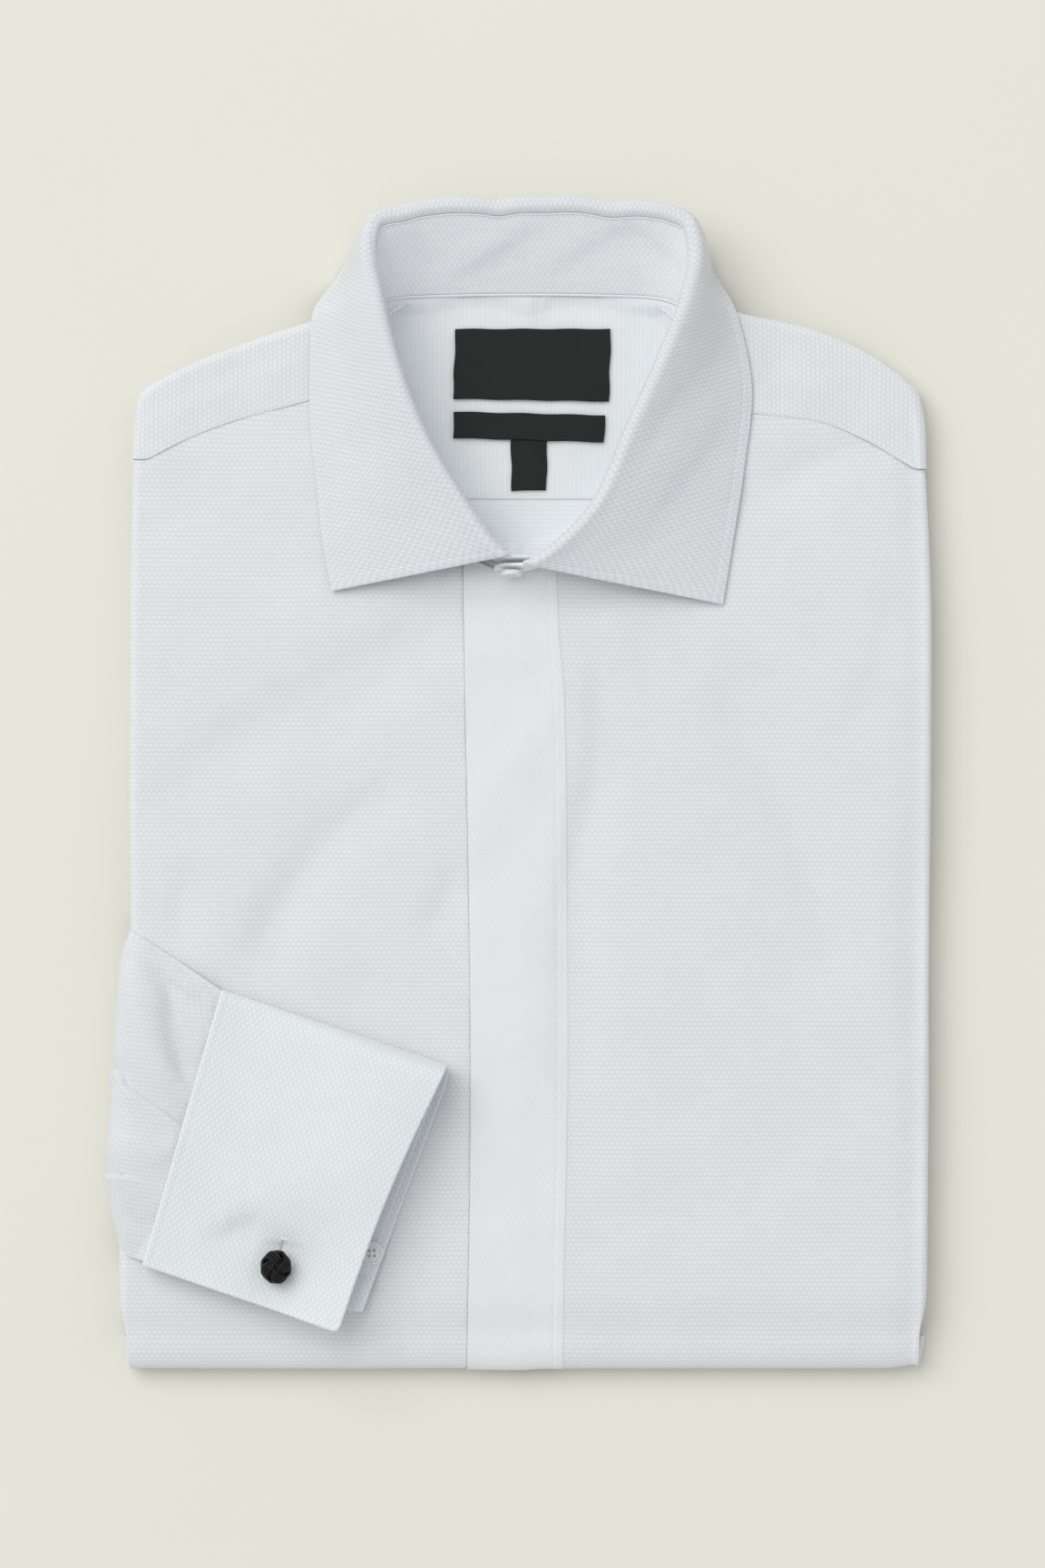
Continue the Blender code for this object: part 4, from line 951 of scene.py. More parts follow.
class Surface:
    """A worked-out piece of cloth: its outer and inner points, normals, and distances along it, in mm."""

    def __init__(self, shape, u, v, wall, lean=1.0, closed=False, swell=None):
        rows, columns = len(v), len(u)
        grid_u, grid_v = np.meshgrid(u, v)
        middle = np.array(shape(grid_u.ravel(), grid_v.ravel())).reshape(3, rows, columns)
        self.u, self.v, self.closed = grid_u, grid_v, closed
        self.along = self.lengths(middle, 2)
        self.across = self.lengths(middle, 1)
        ends = [self.along, self.along[:, -1:] - self.along]
        if not closed:
            ends += [self.across, self.across[-1:] - self.across]
        rim = np.min(ends, axis=0)
        self.normal = self.normals(middle)
        half = wall / 2
        if swell is not None:
            half = half + swell(self.along, self.across, rim)
        half = half * np.sqrt(1 - (1 - unit(rim / (wall / 2))) ** 2)
        middle = middle - self.normal * (wall / 2) * lean
        self.outer = middle + self.normal * half
        self.inner = middle - self.normal * half

    @staticmethod
    def lengths(points, axis):
        """Distance along one direction of the grid, summed from its first line."""
        steps = np.linalg.norm(np.diff(points, axis=axis), axis=0)
        return np.insert(np.cumsum(steps, axis=axis - 1), 0, 0, axis=axis - 1)

    def normals(self, points):
        """Unit normals: the cross product of the slopes along and across, level at a closed seam."""
        rises = np.gradient(points, axis=1)
        if self.closed:
            seam = (points[:, 1] - points[:, -2]) / 2
            rises[:, 0] = rises[:, -1] = seam
        normal = np.cross(np.gradient(points, axis=2), rises, axis=0)
        return normal / np.maximum(np.linalg.norm(normal, axis=0), 1e-9)

    def line(self, side, inset):
        """Points and normals on the outer face at a distance in from one of its sides."""
        turned = side in ("bottom", "top")
        away = self.across.T if turned else self.along
        points, normals = self.outer, self.normal
        if turned:
            points, normals = points.transpose(0, 2, 1), normals.transpose(0, 2, 1)
        if side in ("right", "top"):
            away = (away[:, -1:] - away)[:, ::-1]
            points, normals = points[:, :, ::-1], normals[:, :, ::-1]
        k = np.clip((away < inset).sum(axis=1), 1, away.shape[1] - 1)
        lines = np.arange(len(k))
        share = unit((inset - away[lines, k - 1]) / np.maximum(away[lines, k] - away[lines, k - 1], 1e-6))
        place = blend(points[:, lines, k - 1], points[:, lines, k], share)
        return place.T, normals[:, lines, k].T


def spaced(length, pitch, *fine):
    """Places from 0 to 1 along a length: pitch apart, and closer in each (start, end, pitch) stretch."""
    places = [np.arange(0, length, pitch), [length]]
    places += [np.arange(max(a, 0), min(b, length), step) for a, b, step in fine]
    places = np.sort(np.concatenate(places))
    keep = np.append(np.diff(places) > pitch * 0.03, True)
    keep[0] = True
    places = places[keep]
    places[-1] = length
    return places / length


def rims(length, width=1.0, step=0.17):
    """The fine stretches at both ends of a length, where a wall is rounded."""
    return (0, width, step), (length - width, length, step)


def quads(index):
    """Faces with four corners from a grid of point numbers."""
    return np.stack([index[:-1, :-1], index[:-1, 1:], index[1:, 1:], index[1:, :-1]], axis=-1).reshape(-1, 4)


def ringed(index):
    """A grid of point numbers with its first column again at its end, so that each row is a ring."""
    return np.concatenate([index, index[:, :1]], axis=1)


def piece_from(name, points, faces, finish, uv=None, caps=()):
    """A smooth piece from arrays of points in mm and of four-cornered faces, and other faces as caps.

    uv gives each point its place on the flat cloth in mm.
    """
    mesh = bpy.data.meshes.new(name)
    mesh.from_pydata((points * MM).tolist(), [], faces.tolist() + list(caps))
    if uv is not None:
        corners = np.empty(len(mesh.loops), np.int32)
        mesh.loops.foreach_get("vertex_index", corners)
        mesh.uv_layers.new(name="cloth").data.foreach_set("uv", (uv * MM)[corners].ravel())
    mesh.validate()
    mesh.materials.append(finish)
    piece = bpy.data.objects.new(name, mesh)
    bpy.context.scene.collection.objects.link(piece)
    mesh.shade_smooth()
    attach(piece, "root")
    return piece


def cloth(name, surface, finish, uv=None):
    """Turns a Surface into a closed mesh: its two faces share their points along every open edge."""
    rows, columns = surface.u.shape
    outer = np.arange(rows * columns).reshape(rows, columns)
    border = np.zeros((rows, columns), bool)
    border[:, [0, -1]] = True
    if not surface.closed:
        border[[0, -1]] = True
    inner = outer.copy()
    inner[~border] = rows * columns + np.arange((~border).sum())
    if surface.closed:
        outer[-1], inner[-1] = outer[0], inner[0]
    faces = np.concatenate([quads(outer), quads(inner)[:, ::-1]])
    places = np.concatenate([surface.outer.reshape(3, -1), surface.inner[:, ~border]], axis=1).T
    if uv is None:
        uv = (surface.along, surface.across)
    spread = np.stack([np.broadcast_to(part, border.shape) for part in uv])
    spread = np.concatenate([spread.reshape(2, -1), spread[:, ~border]], axis=1).T
    return piece_from(name, places, faces, finish, spread)


def declare(surface, node, extra=()):
    """Hides the CAD part that a piece of cloth stands for, and works out the piece's area from the lengths
    along it.

    That area is never less than 0.31 of the flat size, or more than all of it, and nothing uses it.
    """
    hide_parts(node)
    width = surface.along[:, -1]
    length = surface.across[-1]
    area = (width.mean() * length.mean()) * MM * MM
    flat = (width.max() * MM, length.max() * MM)
    area = max(min(area, flat[0] * flat[1]), 0.31 * flat[0] * flat[1])


def stitches(name, lines, finish, pitch, length=1.75, radius=0.17, sink=0.45):
    """Sewn stitches as one mesh: a slim spindle at each step along each line of points and normals."""
    points, faces, count = [], [], 0
    sides, rings = 6, 5
    turn = np.arange(sides) * 2 * math.pi / sides
    reach = np.sin(np.linspace(-1, 1, rings) * math.pi / 2)
    girth = np.sqrt(np.maximum(1 - (reach * 0.98) ** 2, 0))
    for places, normals in lines:
        run = np.insert(np.cumsum(np.linalg.norm(np.diff(places, axis=0), axis=1)), 0, 0)
        at = np.arange(pitch, run[-1] - pitch, pitch)
        if len(at) == 0:
            continue
        spot, ahead = (np.stack([np.interp(at + d, run, c) for c in places.T], -1) for d in (0, 0.3))
        normal = np.stack([np.interp(at, run, c) for c in normals.T], -1)
        normal /= np.linalg.norm(normal, axis=1)[:, None]
        along = ahead - spot
        along /= np.linalg.norm(along, axis=1)[:, None]
        side = np.cross(normal, along)
        spot = spot + normal * radius * (1 - 2 * sink)
        ring = spot[:, None, None] + along[:, None, None] * (reach * length / 2)[None, :, None, None]
        way = side[:, None, None] * np.cos(turn)[:, None] + normal[:, None, None] * np.sin(turn)[:, None]
        body = (ring + way * (girth * radius)[None, :, None, None]).reshape(-1, 3)
        one = quads(ringed(np.arange(rings * sides).reshape(rings, sides)))[:, ::-1]
        faces.append((one[None] + count + (np.arange(len(at)) * rings * sides)[:, None, None]).reshape(-1, 4))
        points.append(body)
        count += len(body)
    return piece_from(name, np.concatenate(points), np.concatenate(faces), finish)


def tube(name, places, radius, finish, sides=8, closed=False):
    """A cord along points: rings carried along the path, square to it, pinched shut at open ends."""
    ahead = np.roll(places, -1, axis=0) - np.roll(places, 1, axis=0)
    if not closed:
        ahead[0], ahead[-1] = places[1] - places[0], places[-1] - places[-2]
    ahead /= np.linalg.norm(ahead, axis=1)[:, None]
    side = np.cross(ahead, [0.0, 0.0, 1.0])
    side /= np.maximum(np.linalg.norm(side, axis=1)[:, None], 1e-6)
    rise = np.cross(side, ahead)
    turn = np.arange(sides) * 2 * math.pi / sides
    girth = np.full(len(places), radius)
    if not closed:
        girth[[0, -1]] = radius * 0.05
    ring = side[:, None] * np.cos(turn)[None, :, None] + rise[:, None] * np.sin(turn)[None, :, None]
    body = (places[:, None] + ring * girth[:, None, None]).reshape(-1, 3)
    index = ringed(np.arange(len(body)).reshape(len(places), sides))
    if closed:
        return piece_from(name, body, quads(np.concatenate([index, index[:1]])), finish)
    caps = [index[0, :-1].tolist(), index[-1, :-1][::-1].tolist()]
    return piece_from(name, body, quads(index), finish, caps=caps)


def join(name, pieces):
    """Several like meshes made one object."""
    with bpy.context.temp_override(active_object=pieces[0], selected_editable_objects=pieces):
        bpy.ops.object.join()
    pieces[0].name = name
    return pieces[0]


def linear(hex_value):
    """An sRGB hex colour as linear red, green, blue and alpha."""
    channels = [int(hex_value[i : i + 2], 16) / 255 for i in (1, 3, 5)]
    return [c / 12.92 if c <= 0.04045 else ((c + 0.055) / 1.055) ** 2.4 for c in channels] + [1.0]


def node(tree, kind, settings=(), output=0, **sources):
    """Adds a node with its properties and sockets set, links sockets by name or number, gives an output."""
    made = tree.nodes.new("ShaderNode" + kind)
    for key, value in dict(settings).items():
        if isinstance(key, int) or key in made.inputs:
            made.inputs[key].default_value = value
        else:
            setattr(made, key, value)
    for key, source in sources.items():
        socket = made.inputs[int(key[1:])] if key[0] == "i" and key[1:].isdigit() else made.inputs[key]
        tree.links.new(source, socket)
    return made.outputs[output]


def material(name, settings, texture, *values):
    """The material of that name, made at its first use: its Principled settings, then its texture."""
    if name not in bpy.data.materials:
        made = bpy.data.materials.new(name)
        made.use_nodes = True
        base = made.node_tree.nodes["Principled BSDF"]
        for key, value in settings.items():
            base.inputs[key].default_value = value
        texture(made.node_tree, base.inputs, *values)
    return bpy.data.materials[name]


def wave(tree, value, length):
    """Cosine of a distance in mm, one full wave each length."""
    turn = node(tree, "Math", MULTIPLY | {1: 2 * math.pi / length}, i0=value)
    return node(tree, "Math", {"operation": "COSINE"}, i0=turn)


def cloth_map(tree, wander):
    """Distances along and across the cloth in mm, with yarns that wander a little."""
    where = node(tree, "UVMap", {"uv_map": "cloth"}, "UV")
    scaled = node(tree, "Mapping", {"Scale": (1000, 1000, 1)}, Vector=where)
    drift = node(tree, "TexNoise", {"Scale": 0.045, "Detail": 1.0}, "Color", Vector=scaled)
    centred = node(tree, "VectorMath", {"operation": "SUBTRACT", 1: (0.5, 0.5, 0.5)}, i0=drift)
    moved = node(tree, "VectorMath", {"operation": "SCALE", "Scale": wander}, i0=centred)
    parts = node(tree, "SeparateXYZ", i0=node(tree, "VectorMath", ADD, i0=scaled, i1=moved)).node.outputs
    return scaled, parts[0], parts[1]


def birdseye(tree, base, light, ground, dots, ribs, relief):
    """The weave: raised dots in staggered rows, faint ribs between rows, soft fuzz and a slow unevenness.

    The dots are a little coarser than in the real cloth, so that they show.
    """
    p = bpy.context.scene.shirt_cloth
    where, along, across = cloth_map(tree, 0.9)
    staggered = node(tree, "Math", MULTIPLY, i0=wave(tree, along, p.dot), i1=wave(tree, across, 2 * p.pick))
    figure = node(tree, "Math", MULTIPLY | {1: dots}, i0=staggered)
    rib = node(tree, "Math", MULTIPLY | {1: ribs}, i0=wave(tree, across, p.pick))
    yarn = node(tree, "TexNoise", {"Scale": 2.4, "Detail": 3.0, "Roughness": 0.7}, Vector=where)
    fuzz = node(tree, "Math", MULTIPLY | {1: 0.5}, i0=yarn)
    weave = node(tree, "Math", ADD, i0=node(tree, "Math", ADD, i0=figure, i1=rib), i1=fuzz)
    tone = node(tree, "MapRange", {"From Min": -0.55, "From Max": 1.15}, Value=weave)
    colour = node(tree, "Mix", MIX | {6: linear(ground), 7: linear(light)}, 2, i0=tone)
    slow = node(tree, "TexNoise", {"Scale": 0.05, "Detail": 2.0}, Vector=where)
    shade = {"From Min": 0.3, "From Max": 0.7, "To Min": 0.985, "To Max": 1.01}
    shade = node(tree, "MapRange", shade, Value=slow)
    shaded = node(tree, "VectorMath", {"operation": "SCALE"}, i0=colour, Scale=shade)
    tree.links.new(shaded, base["Base Color"])
    low = node(tree, "TexNoise", {"Scale": 0.16, "Detail": 2.0}, Vector=where)
    soft = node(tree, "Bump", {"Distance": 0.0005, "Strength": 0.5}, Height=low)
    bump = node(tree, "Bump", {"Distance": relief, "Strength": 1.0}, Height=weave, Normal=soft)
    tree.links.new(bump, base["Normal"])


def cotton(name, light, ground, dots, ribs, relief):
    """Woven cotton: colours of its dots and ground, how strongly dots and ribs show, and its relief in m."""
    settings = {"Roughness": 0.88, "Specular IOR Level": 0.22, "Sheen Weight": 0.12, "Sheen Roughness": 0.5}
    settings |= {"Subsurface Weight": 0.3, "Subsurface Scale": 0.002, "Subsurface Radius": (1.0, 1.0, 1.0)}
    return material(name, settings, birdseye, light, ground, dots, ribs, relief)


def birdseye_cotton():
    """Woven two-ply cotton with a raised birdseye figure: matt, with dots that catch a side light."""
    p = bpy.context.scene.shirt_cloth
    return cotton("birdseye_cotton_white", p.light, p.ground, 0.3, 0.26, 0.0001)


def collar_cotton():
    """The same cotton stretched over an interlining: the dots stand out more than the ribs. Its colour is a
    little darker than the body's: painted shade of its raised weave.
    """
    return cotton("birdseye_cotton_interlined", "#E7E9EA", "#CBCFD1", 0.55, 0.06, 0.0001)


def stand_cotton():
    """The same cotton on the collar's stand, made the lightest of all: painted bounce light between its
    faces.
    """
    return cotton("birdseye_cotton_stand", "#F7F9F9", "#E2E6E8", 0.5, 0.1, 0.0001)


def sleeve_cotton():
    """The same cotton on the sleeve, not starched, so its weave is softer; its darker colour is painted shade
    of its low, sloping place.
    """
    return cotton("birdseye_cotton_sleeve", "#E9EBEC", "#CCD1D3", 0.3, 0.26, 0.0001)


def cuff_cotton():
    """The same cotton on the cuff, pressed flatter and so a little lighter."""
    return cotton("birdseye_cotton_cuff", "#EAEEEE", "#D1D7D8", 0.5, 0.1, 0.0001)


def placket_cotton():
    """The same cotton in several plies, pressed: smoother, and a little warmer as the plies show through."""
    return cotton("birdseye_cotton_pressed", "#E9EDEC", "#DCE0DF", 0.35, 0.12, 0.00006)


def inside_cotton():
    """The wrong side of the weave, seen inside the neck: fine close ribs and hardly a dot."""
    return cotton("birdseye_cotton_wrong_side", "#EEF1F2", "#E0E5E7", 0.08, 0.34, 0.00007)


def satin(tree, base, low, high):
    """Lengthwise yarns crossed by closer ones, with lint. They are drawn coarser than real, to show."""
    where, along, across = cloth_map(tree, 0.2)
    warp = node(tree, "Math", MULTIPLY | {1: 0.5}, i0=wave(tree, along, 0.42))
    weft = node(tree, "Math", MULTIPLY | {1: 0.5}, i0=wave(tree, across, 0.55))
    lint = node(tree, "TexNoise", {"Scale": 1.1, "Detail": 4.0, "Roughness": 0.75}, Vector=where)
    body = node(tree, "Math", ADD, i0=node(tree, "Math", ADD, i0=warp, i1=weft), i1=lint)
    tone = node(tree, "MapRange", {"From Min": -0.4, "From Max": 1.6}, Value=body)
    colour = node(tree, "Mix", MIX | {6: linear(low), 7: linear(high)}, 2, i0=tone)
    tree.links.new(colour, base["Base Color"])
    bump = node(tree, "Bump", {"Distance": 0.00005, "Strength": 0.8}, Height=body)
    tree.links.new(bump, base["Normal"])


def label_satin():
    """Damask woven label, polyester on a satin ground: near black, fine lengthwise yarns, low sheen."""
    settings = {"Roughness": 0.65, "Specular IOR Level": 0.25, "Sheen Weight": 0.06, "Sheen Roughness": 0.4}
    return material("damask_satin_black", settings, satin, "#121313", "#232424")


def mottle(tree, base, low, high, settings, relief=None):
    """Two colours in an uneven mix, and where a relief in m is given, a surface that follows it."""
    where = node(tree, "TexCoord", output="Object")
    share = node(tree, "TexNoise", settings, Vector=where)
    colour = node(tree, "Mix", MIX | {6: linear(low), 7: linear(high)}, 2, i0=share)
    tree.links.new(colour, base["Base Color"])
    if relief is not None:
        bump = node(tree, "Bump", {"Distance": relief, "Strength": 0.8}, Height=share)
        tree.links.new(bump, base["Normal"])


def sewing_thread():
    """Twisted cotton-covered thread: brighter than the cloth, with a slight gloss."""
    settings = {"Roughness": 0.6, "Sheen Weight": 0.2}
    twist = {"Scale": 2500.0, "Detail": 1.0}  # 0.4 mm
    return material("spun_thread_white", settings, mottle, "#E6EAED", "#F8FAFB", twist)


def silk_cord():
    """Braided silk cord: brownish black, each ply lit along its curve."""
    settings = {"Roughness": 0.5, "Specular IOR Level": 0.25, "Sheen Weight": 0.02, "Sheen Roughness": 0.3}
    plies = {"Scale": 1400.0, "Detail": 3.0}  # 0.7 mm
    return material("braided_silk_black", settings, mottle, "#050404", "#15110F", plies, 0.00012)


def button_resin():
    """Cast polyester resin, turned and tumbled: glossy, milky, with a faint pearl swirl."""
    settings = {"Roughness": 0.3, "Coat Weight": 0.25, "Coat Roughness": 0.15}
    swirl = {"Scale": 380.0, "Detail": 2.0, "Distortion": 1.5}  # 2.6 mm
    return material("cast_polyester_pearl", settings, mottle, "#DADCDC", "#EEEFEE", swirl)


def painted_board():
    """Matt painted board under the shirt: warm cream, with the slightest mottle."""
    p = bpy.context.scene.shirt_stage
    settings = {"Roughness": 0.9, "Specular IOR Level": 0.1}
    clouds = {"Scale": 6.0, "Detail": 3.0}  # 170 mm
    return material("matt_paint_cream", settings, mottle, p.floor_low, p.floor_high, clouds)


class ShirtCloth(bpy.types.PropertyGroup):
    """Sizes and colours of the cloth and its sewing."""

    dot: bpy.props.FloatProperty(
        name="Dot spacing", description="Along a row of the weave, in mm", default=2.0, min=0.5
    )
    pick: bpy.props.FloatProperty(
        name="Row spacing", description="Between rows of the weave, in mm", default=1.65, min=0.5
    )
    light: bpy.props.StringProperty(
        name="Raised yarn", description="sRGB hex colour of the dots", default="#EDEFEF"
    )
    ground: bpy.props.StringProperty(
        name="Ground", description="sRGB hex colour between the dots", default="#D1D5D7"
    )
    inset: bpy.props.FloatProperty(
        name="Stitch inset", description="Stitch line to the collar's edge, in mm", default=3.9, min=1
    )
    pitch: bpy.props.FloatProperty(
        name="Stitch spacing", description="One stitch to the next, in mm", default=2.1, min=1
    )


class ShirtKnot(bpy.types.PropertyGroup):
    """Sizes of the silk knot."""

    radius: bpy.props.FloatProperty(
        name="Ball radius", description="Over the cords, in mm", default=6.25, min=3
    )
    cord: bpy.props.FloatProperty(
        name="Cord radius", description="Of one cord in the braid, in mm", default=0.78, min=0.3
    )
    bights: bpy.props.IntProperty(
        name="Bights", description="Turns of the braid at its rim", default=4, min=3
    )
    leads: bpy.props.IntProperty(name="Leads", description="Times the braid goes round", default=3, min=2)


class ShirtStage(bpy.types.PropertyGroup):
    """Floor, lights and camera."""

    floor_low: bpy.props.StringProperty(
        name="Floor, darker", description="sRGB hex colour", default="#E2E1D4"
    )
    floor_high: bpy.props.StringProperty(
        name="Floor, lighter", description="sRGB hex colour", default="#E6E4D9"
    )
    key: bpy.props.FloatProperty(
        name="Key light", description="Power of the large soft light", default=318.0, unit="POWER"
    )
    fill: bpy.props.FloatProperty(
        name="Fill", description="Strength of the light from all round", default=0.67, min=0
    )
    distance: bpy.props.FloatProperty(
        name="Camera height", description="Over the shirt", default=2.4, unit="LENGTH"
    )
    frame_height: bpy.props.FloatProperty(
        name="Framed length", description="Of the surface", default=0.5858, unit="LENGTH"
    )


class SHIRT_OT_fronts(bpy.types.Operator):
    """Makes the two fronts, which wrap round the packet's sides and bottom."""

    bl_idname = "shirt.fronts"
    bl_label = "Fronts"

    def execute(self, context):
        v = [spaced(1, 0.0075), np.linspace(0.965, 1, 22), np.linspace(0, 0.004, 3)]
        v = np.unique(np.concatenate(v))
        side = [np.linspace(0, 0.2, 16), np.linspace(0.2, 0.995, 100), [0.9975, 0.999, 1]]
        side = np.unique(np.concatenate(side))
        for name, shape, rows, sign, node_name in (
            ("right_front_panel", right_front, RIGHT_FRONT, -1, "front_right"),
            ("left_front_panel", left_front, LEFT_FRONT, 1, "front_left"),
        ):
            surface = Surface(shape, side if sign < 0 else 1 - side[::-1], v, WALL)
            across = surface.u if sign < 0 else 1 - surface.u
            uv = front_cloth(across, surface.v, rows, sign)[:2]
            piece = cloth(name, surface, birdseye_cotton(), uv)
            declare(surface, node_name)
        return {"FINISHED"}


class SHIRT_OT_placket(bpy.types.Operator):
    """Makes the covered placket with its pressed edge and stitched ridge."""

    bl_idname = "shirt.placket"
    bl_label = "Placket"

    def execute(self, context):
        u = spaced(PLACKET_WIDTH, 0.9, *rims(PLACKET_WIDTH), (30.5, 36.5, 0.3))
        v = spaced(PLACKET_LENGTH, 1.3, *rims(PLACKET_LENGTH))
        surface = Surface(placket, u, v, PLACKET_WALL)
        piece = cloth("fly_placket", surface, placket_cotton(), placket_cloth(surface.u, surface.v))
        pitch = context.scene.shirt_cloth.pitch
        lines = [surface.line("right", PLACKET_STITCHES)]
        sewing = stitches("placket_stitches", lines, sewing_thread(), pitch)
        declare(surface, "placket", extra=[sewing])
        return {"FINISHED"}


class SHIRT_OT_yoke(bpy.types.Operator):
    """Makes the outer yoke with its felled seam, stitched 2 mm from the edge."""

    bl_idname = "shirt.yoke"
    bl_label = "Yoke"

    def execute(self, context):
        u = spaced(YOKE_LENGTH, 1.6, *rims(YOKE_LENGTH))
        v = np.unique(np.concatenate([spaced(1, 0.02), np.linspace(0, 0.12, 16), np.linspace(0.99, 1, 4)]))
        surface = Surface(outer_yoke, u, v, WALL)
        piece = cloth("outer_yoke_panel", surface, birdseye_cotton(), surface.outer[1::-1])
        places, normals = surface.line("bottom", YOKE_STITCHES)
        left, right = places[:, 0] < YOKE_SEWN[0], places[:, 0] > YOKE_SEWN[1]
        seams = [(places[part], normals[part]) for part in (left, right)]
        sewing = stitches("yoke_stitches", seams, sewing_thread(), context.scene.shirt_cloth.pitch)
        declare(surface, "yoke_outer", extra=[sewing])
        return {"FINISHED"}


class SHIRT_OT_inside(bpy.types.Operator):
    """Makes what shows of the inside: the inner yoke, the back below it and the seam between them."""

    bl_idname = "shirt.inside"
    bl_label = "Inside of the neck"

    def execute(self, context):
        pitch = context.scene.shirt_cloth.pitch
        for name, rows, lift, size, node_name in (
            ("inner_yoke_panel", INNER_YOKE, 0.35, (112, 78), "yoke_inner"),
            ("inner_back_panel", INNER_BACK, 0.0, (82, 25), "back_inner"),
        ):
            u = spaced(size[0], 1.0, *rims(size[0]))
            v = spaced(size[1], 0.9, *rims(size[1]))
            surface = Surface(inner_panel(rows, lift), u, v, INNER_WALL)
            turned = name == "inner_yoke_panel"
            uv = surface.outer[1::-1] if turned else surface.outer[:2]
            piece = cloth(name, surface, inside_cotton(), uv)
            sewing = []
            if turned:
                lines = [surface.line("bottom", 1.3)]
                sewing = [stitches("inner_yoke_stitches", lines, sewing_thread(), pitch)]
            declare(surface, node_name, sewing)
        return {"FINISHED"}


def label_shape(corners, level):
    """A label: level with the inner yoke under it, its sewn ends drawn down and its middle a little proud."""
    low_left, low_right, high_right, high_left = (point(*corner) for corner in corners)

    def shape(u, v):
        x, y = blend(blend(low_left, low_right, u), blend(high_left, high_right, u), v)
        pull = 0.12 * np.sin(x / 2.9 + 1) * np.exp(-np.minimum(v, 1 - v) * 14)
        x_pull = 0.18 * np.sin(y / 2.3) * np.exp(-np.minimum(u, 1 - u) * 20)
        rise = LABEL_PROUD * np.sin(math.pi * u) ** 0.5 * (1 + 0.3 * np.sin(x / 6.5))
        return x + x_pull, y + pull, level + LABEL_WALL + rise + 0.15 * np.sin(x / 4.1 + y / 7.0)

    return shape


class SHIRT_OT_labels(bpy.types.Operator):
    """Makes the three woven labels, left bare."""

    bl_idname = "shirt.labels"
    bl_label = "Labels"

    def execute(self, context):
        for name, corners in LABELS.items():
            width, height = corners[1][0] - corners[0][0], corners[3][1] - corners[0][1]
            u = spaced(width, 0.8, *rims(width, 0.6, 0.12))
            v = spaced(height, 0.7, *rims(height, 0.6, 0.12))
            level = INNER_TOP + LABEL_LEVELS[name != "label_size"]
            surface = Surface(label_shape(corners, level), u, v, LABEL_WALL)
            piece = cloth(f"woven_{name}", surface, label_satin(), surface.outer[:2])
            declare(surface, name)
        return {"FINISHED"}


class SHIRT_OT_collar(bpy.types.Operator):
    """Makes the collar: its stand, its leaf, the seam between them and the stitching round the leaf."""

    bl_idname = "shirt.collar"
    bl_label = "Collar"

    def execute(self, context):
        p = context.scene.shirt_cloth
        u = spaced(COLLAR_LENGTH, 1.5, *rims(COLLAR_LENGTH))
        v = spaced(STAND_DEPTH, 0.9, *rims(STAND_DEPTH))
        surface = Surface(collar_stand, u, v, COLLAR_WALL, 0.0)
        stand = cloth("collar_stand_band", surface, stand_cotton(), (surface.along[15], surface.across))
        declare(surface, "collar_stand")

        corners = rims(COLLAR_LENGTH, 6.5, 0.4)
        u = spaced(COLLAR_LENGTH, 1.5, *rims(COLLAR_LENGTH), *corners)
        rolled = np.concatenate([np.linspace(0, LEAF_INSIDE, 8), np.linspace(LEAF_INSIDE, LEAF_ROUND, 15)])
        fine = (FALL_LENGTH - 7, FALL_LENGTH - 1, 0.4), (FALL_LENGTH - 1, FALL_LENGTH, 0.17)
        fallen = LEAF_ROUND + (1 - LEAF_ROUND) * spaced(FALL_LENGTH, 1.1, *fine)
        v = np.unique(np.concatenate([rolled, fallen]))
        surface = Surface(collar_leaf, u, v, COLLAR_WALL, 0.0, swell=hem(p.inset))
        straight = surface.along[surface.along.shape[0] * 2 // 3]
        leaf = cloth("collar_leaf_fall", surface, collar_cotton(), (straight, surface.across))
        lines = [surface.line(side, p.inset) for side in ("left", "top", "right")]
        sewing = stitches("collar_stitches", lines, sewing_thread(), p.pitch)
        at = np.linspace(1.4, LAST_ROW - 1.4, 420) / LAST_ROW
        (begin, along), (base, out) = collar_seam(at), collar_fold(at)[:2]
        path = (begin - along * (LEAF_SEAM - 0.12) - out * 0.5).T
        seam = tube("collar_seam_cord", path, SEAM_CORD, collar_cotton())
        path = (base - out * 0.7 + along * 0.1).T
        neck_seam = tube("neck_seam_cord", path, NECK_CORD, inside_cotton())
        extra = [sewing, seam, neck_seam]
        declare(surface, "collar_leaf", extra=extra)
        return {"FINISHED"}


class SHIRT_OT_sleeve(bpy.types.Operator):
    """Makes the sleeve that comes round the left edge, a flat tube with its pleats into the cuff."""

    bl_idname = "shirt.sleeve"
    bl_label = "Sleeve"

    def execute(self, context):
        u = spaced(SLEEVE_SHOWN, 0.65, *rims(SLEEVE_SHOWN))
        turn, half = np.linspace(0, SLEEVE_TURN, 5), 0.5 - SLEEVE_TURN
        outer = half - (half - SLEEVE_TURN) * (1 + np.cos(np.linspace(0, math.pi, 10))) / 2
        far = np.linspace(0.5 + SLEEVE_TURN, 1 - SLEEVE_TURN, 50)
        near = np.linspace(SLEEVE_TURN, half, 240)
        v = np.unique(np.concatenate([turn, outer, near, half + turn * 2, far, 1 - turn]))
        surface = Surface(sleeve, u, v, WALL, 0.0, closed=True)
        piece = cloth("right_sleeve_tube", surface, sleeve_cotton())
        declare(surface, "sleeve")
        return {"FINISHED"}


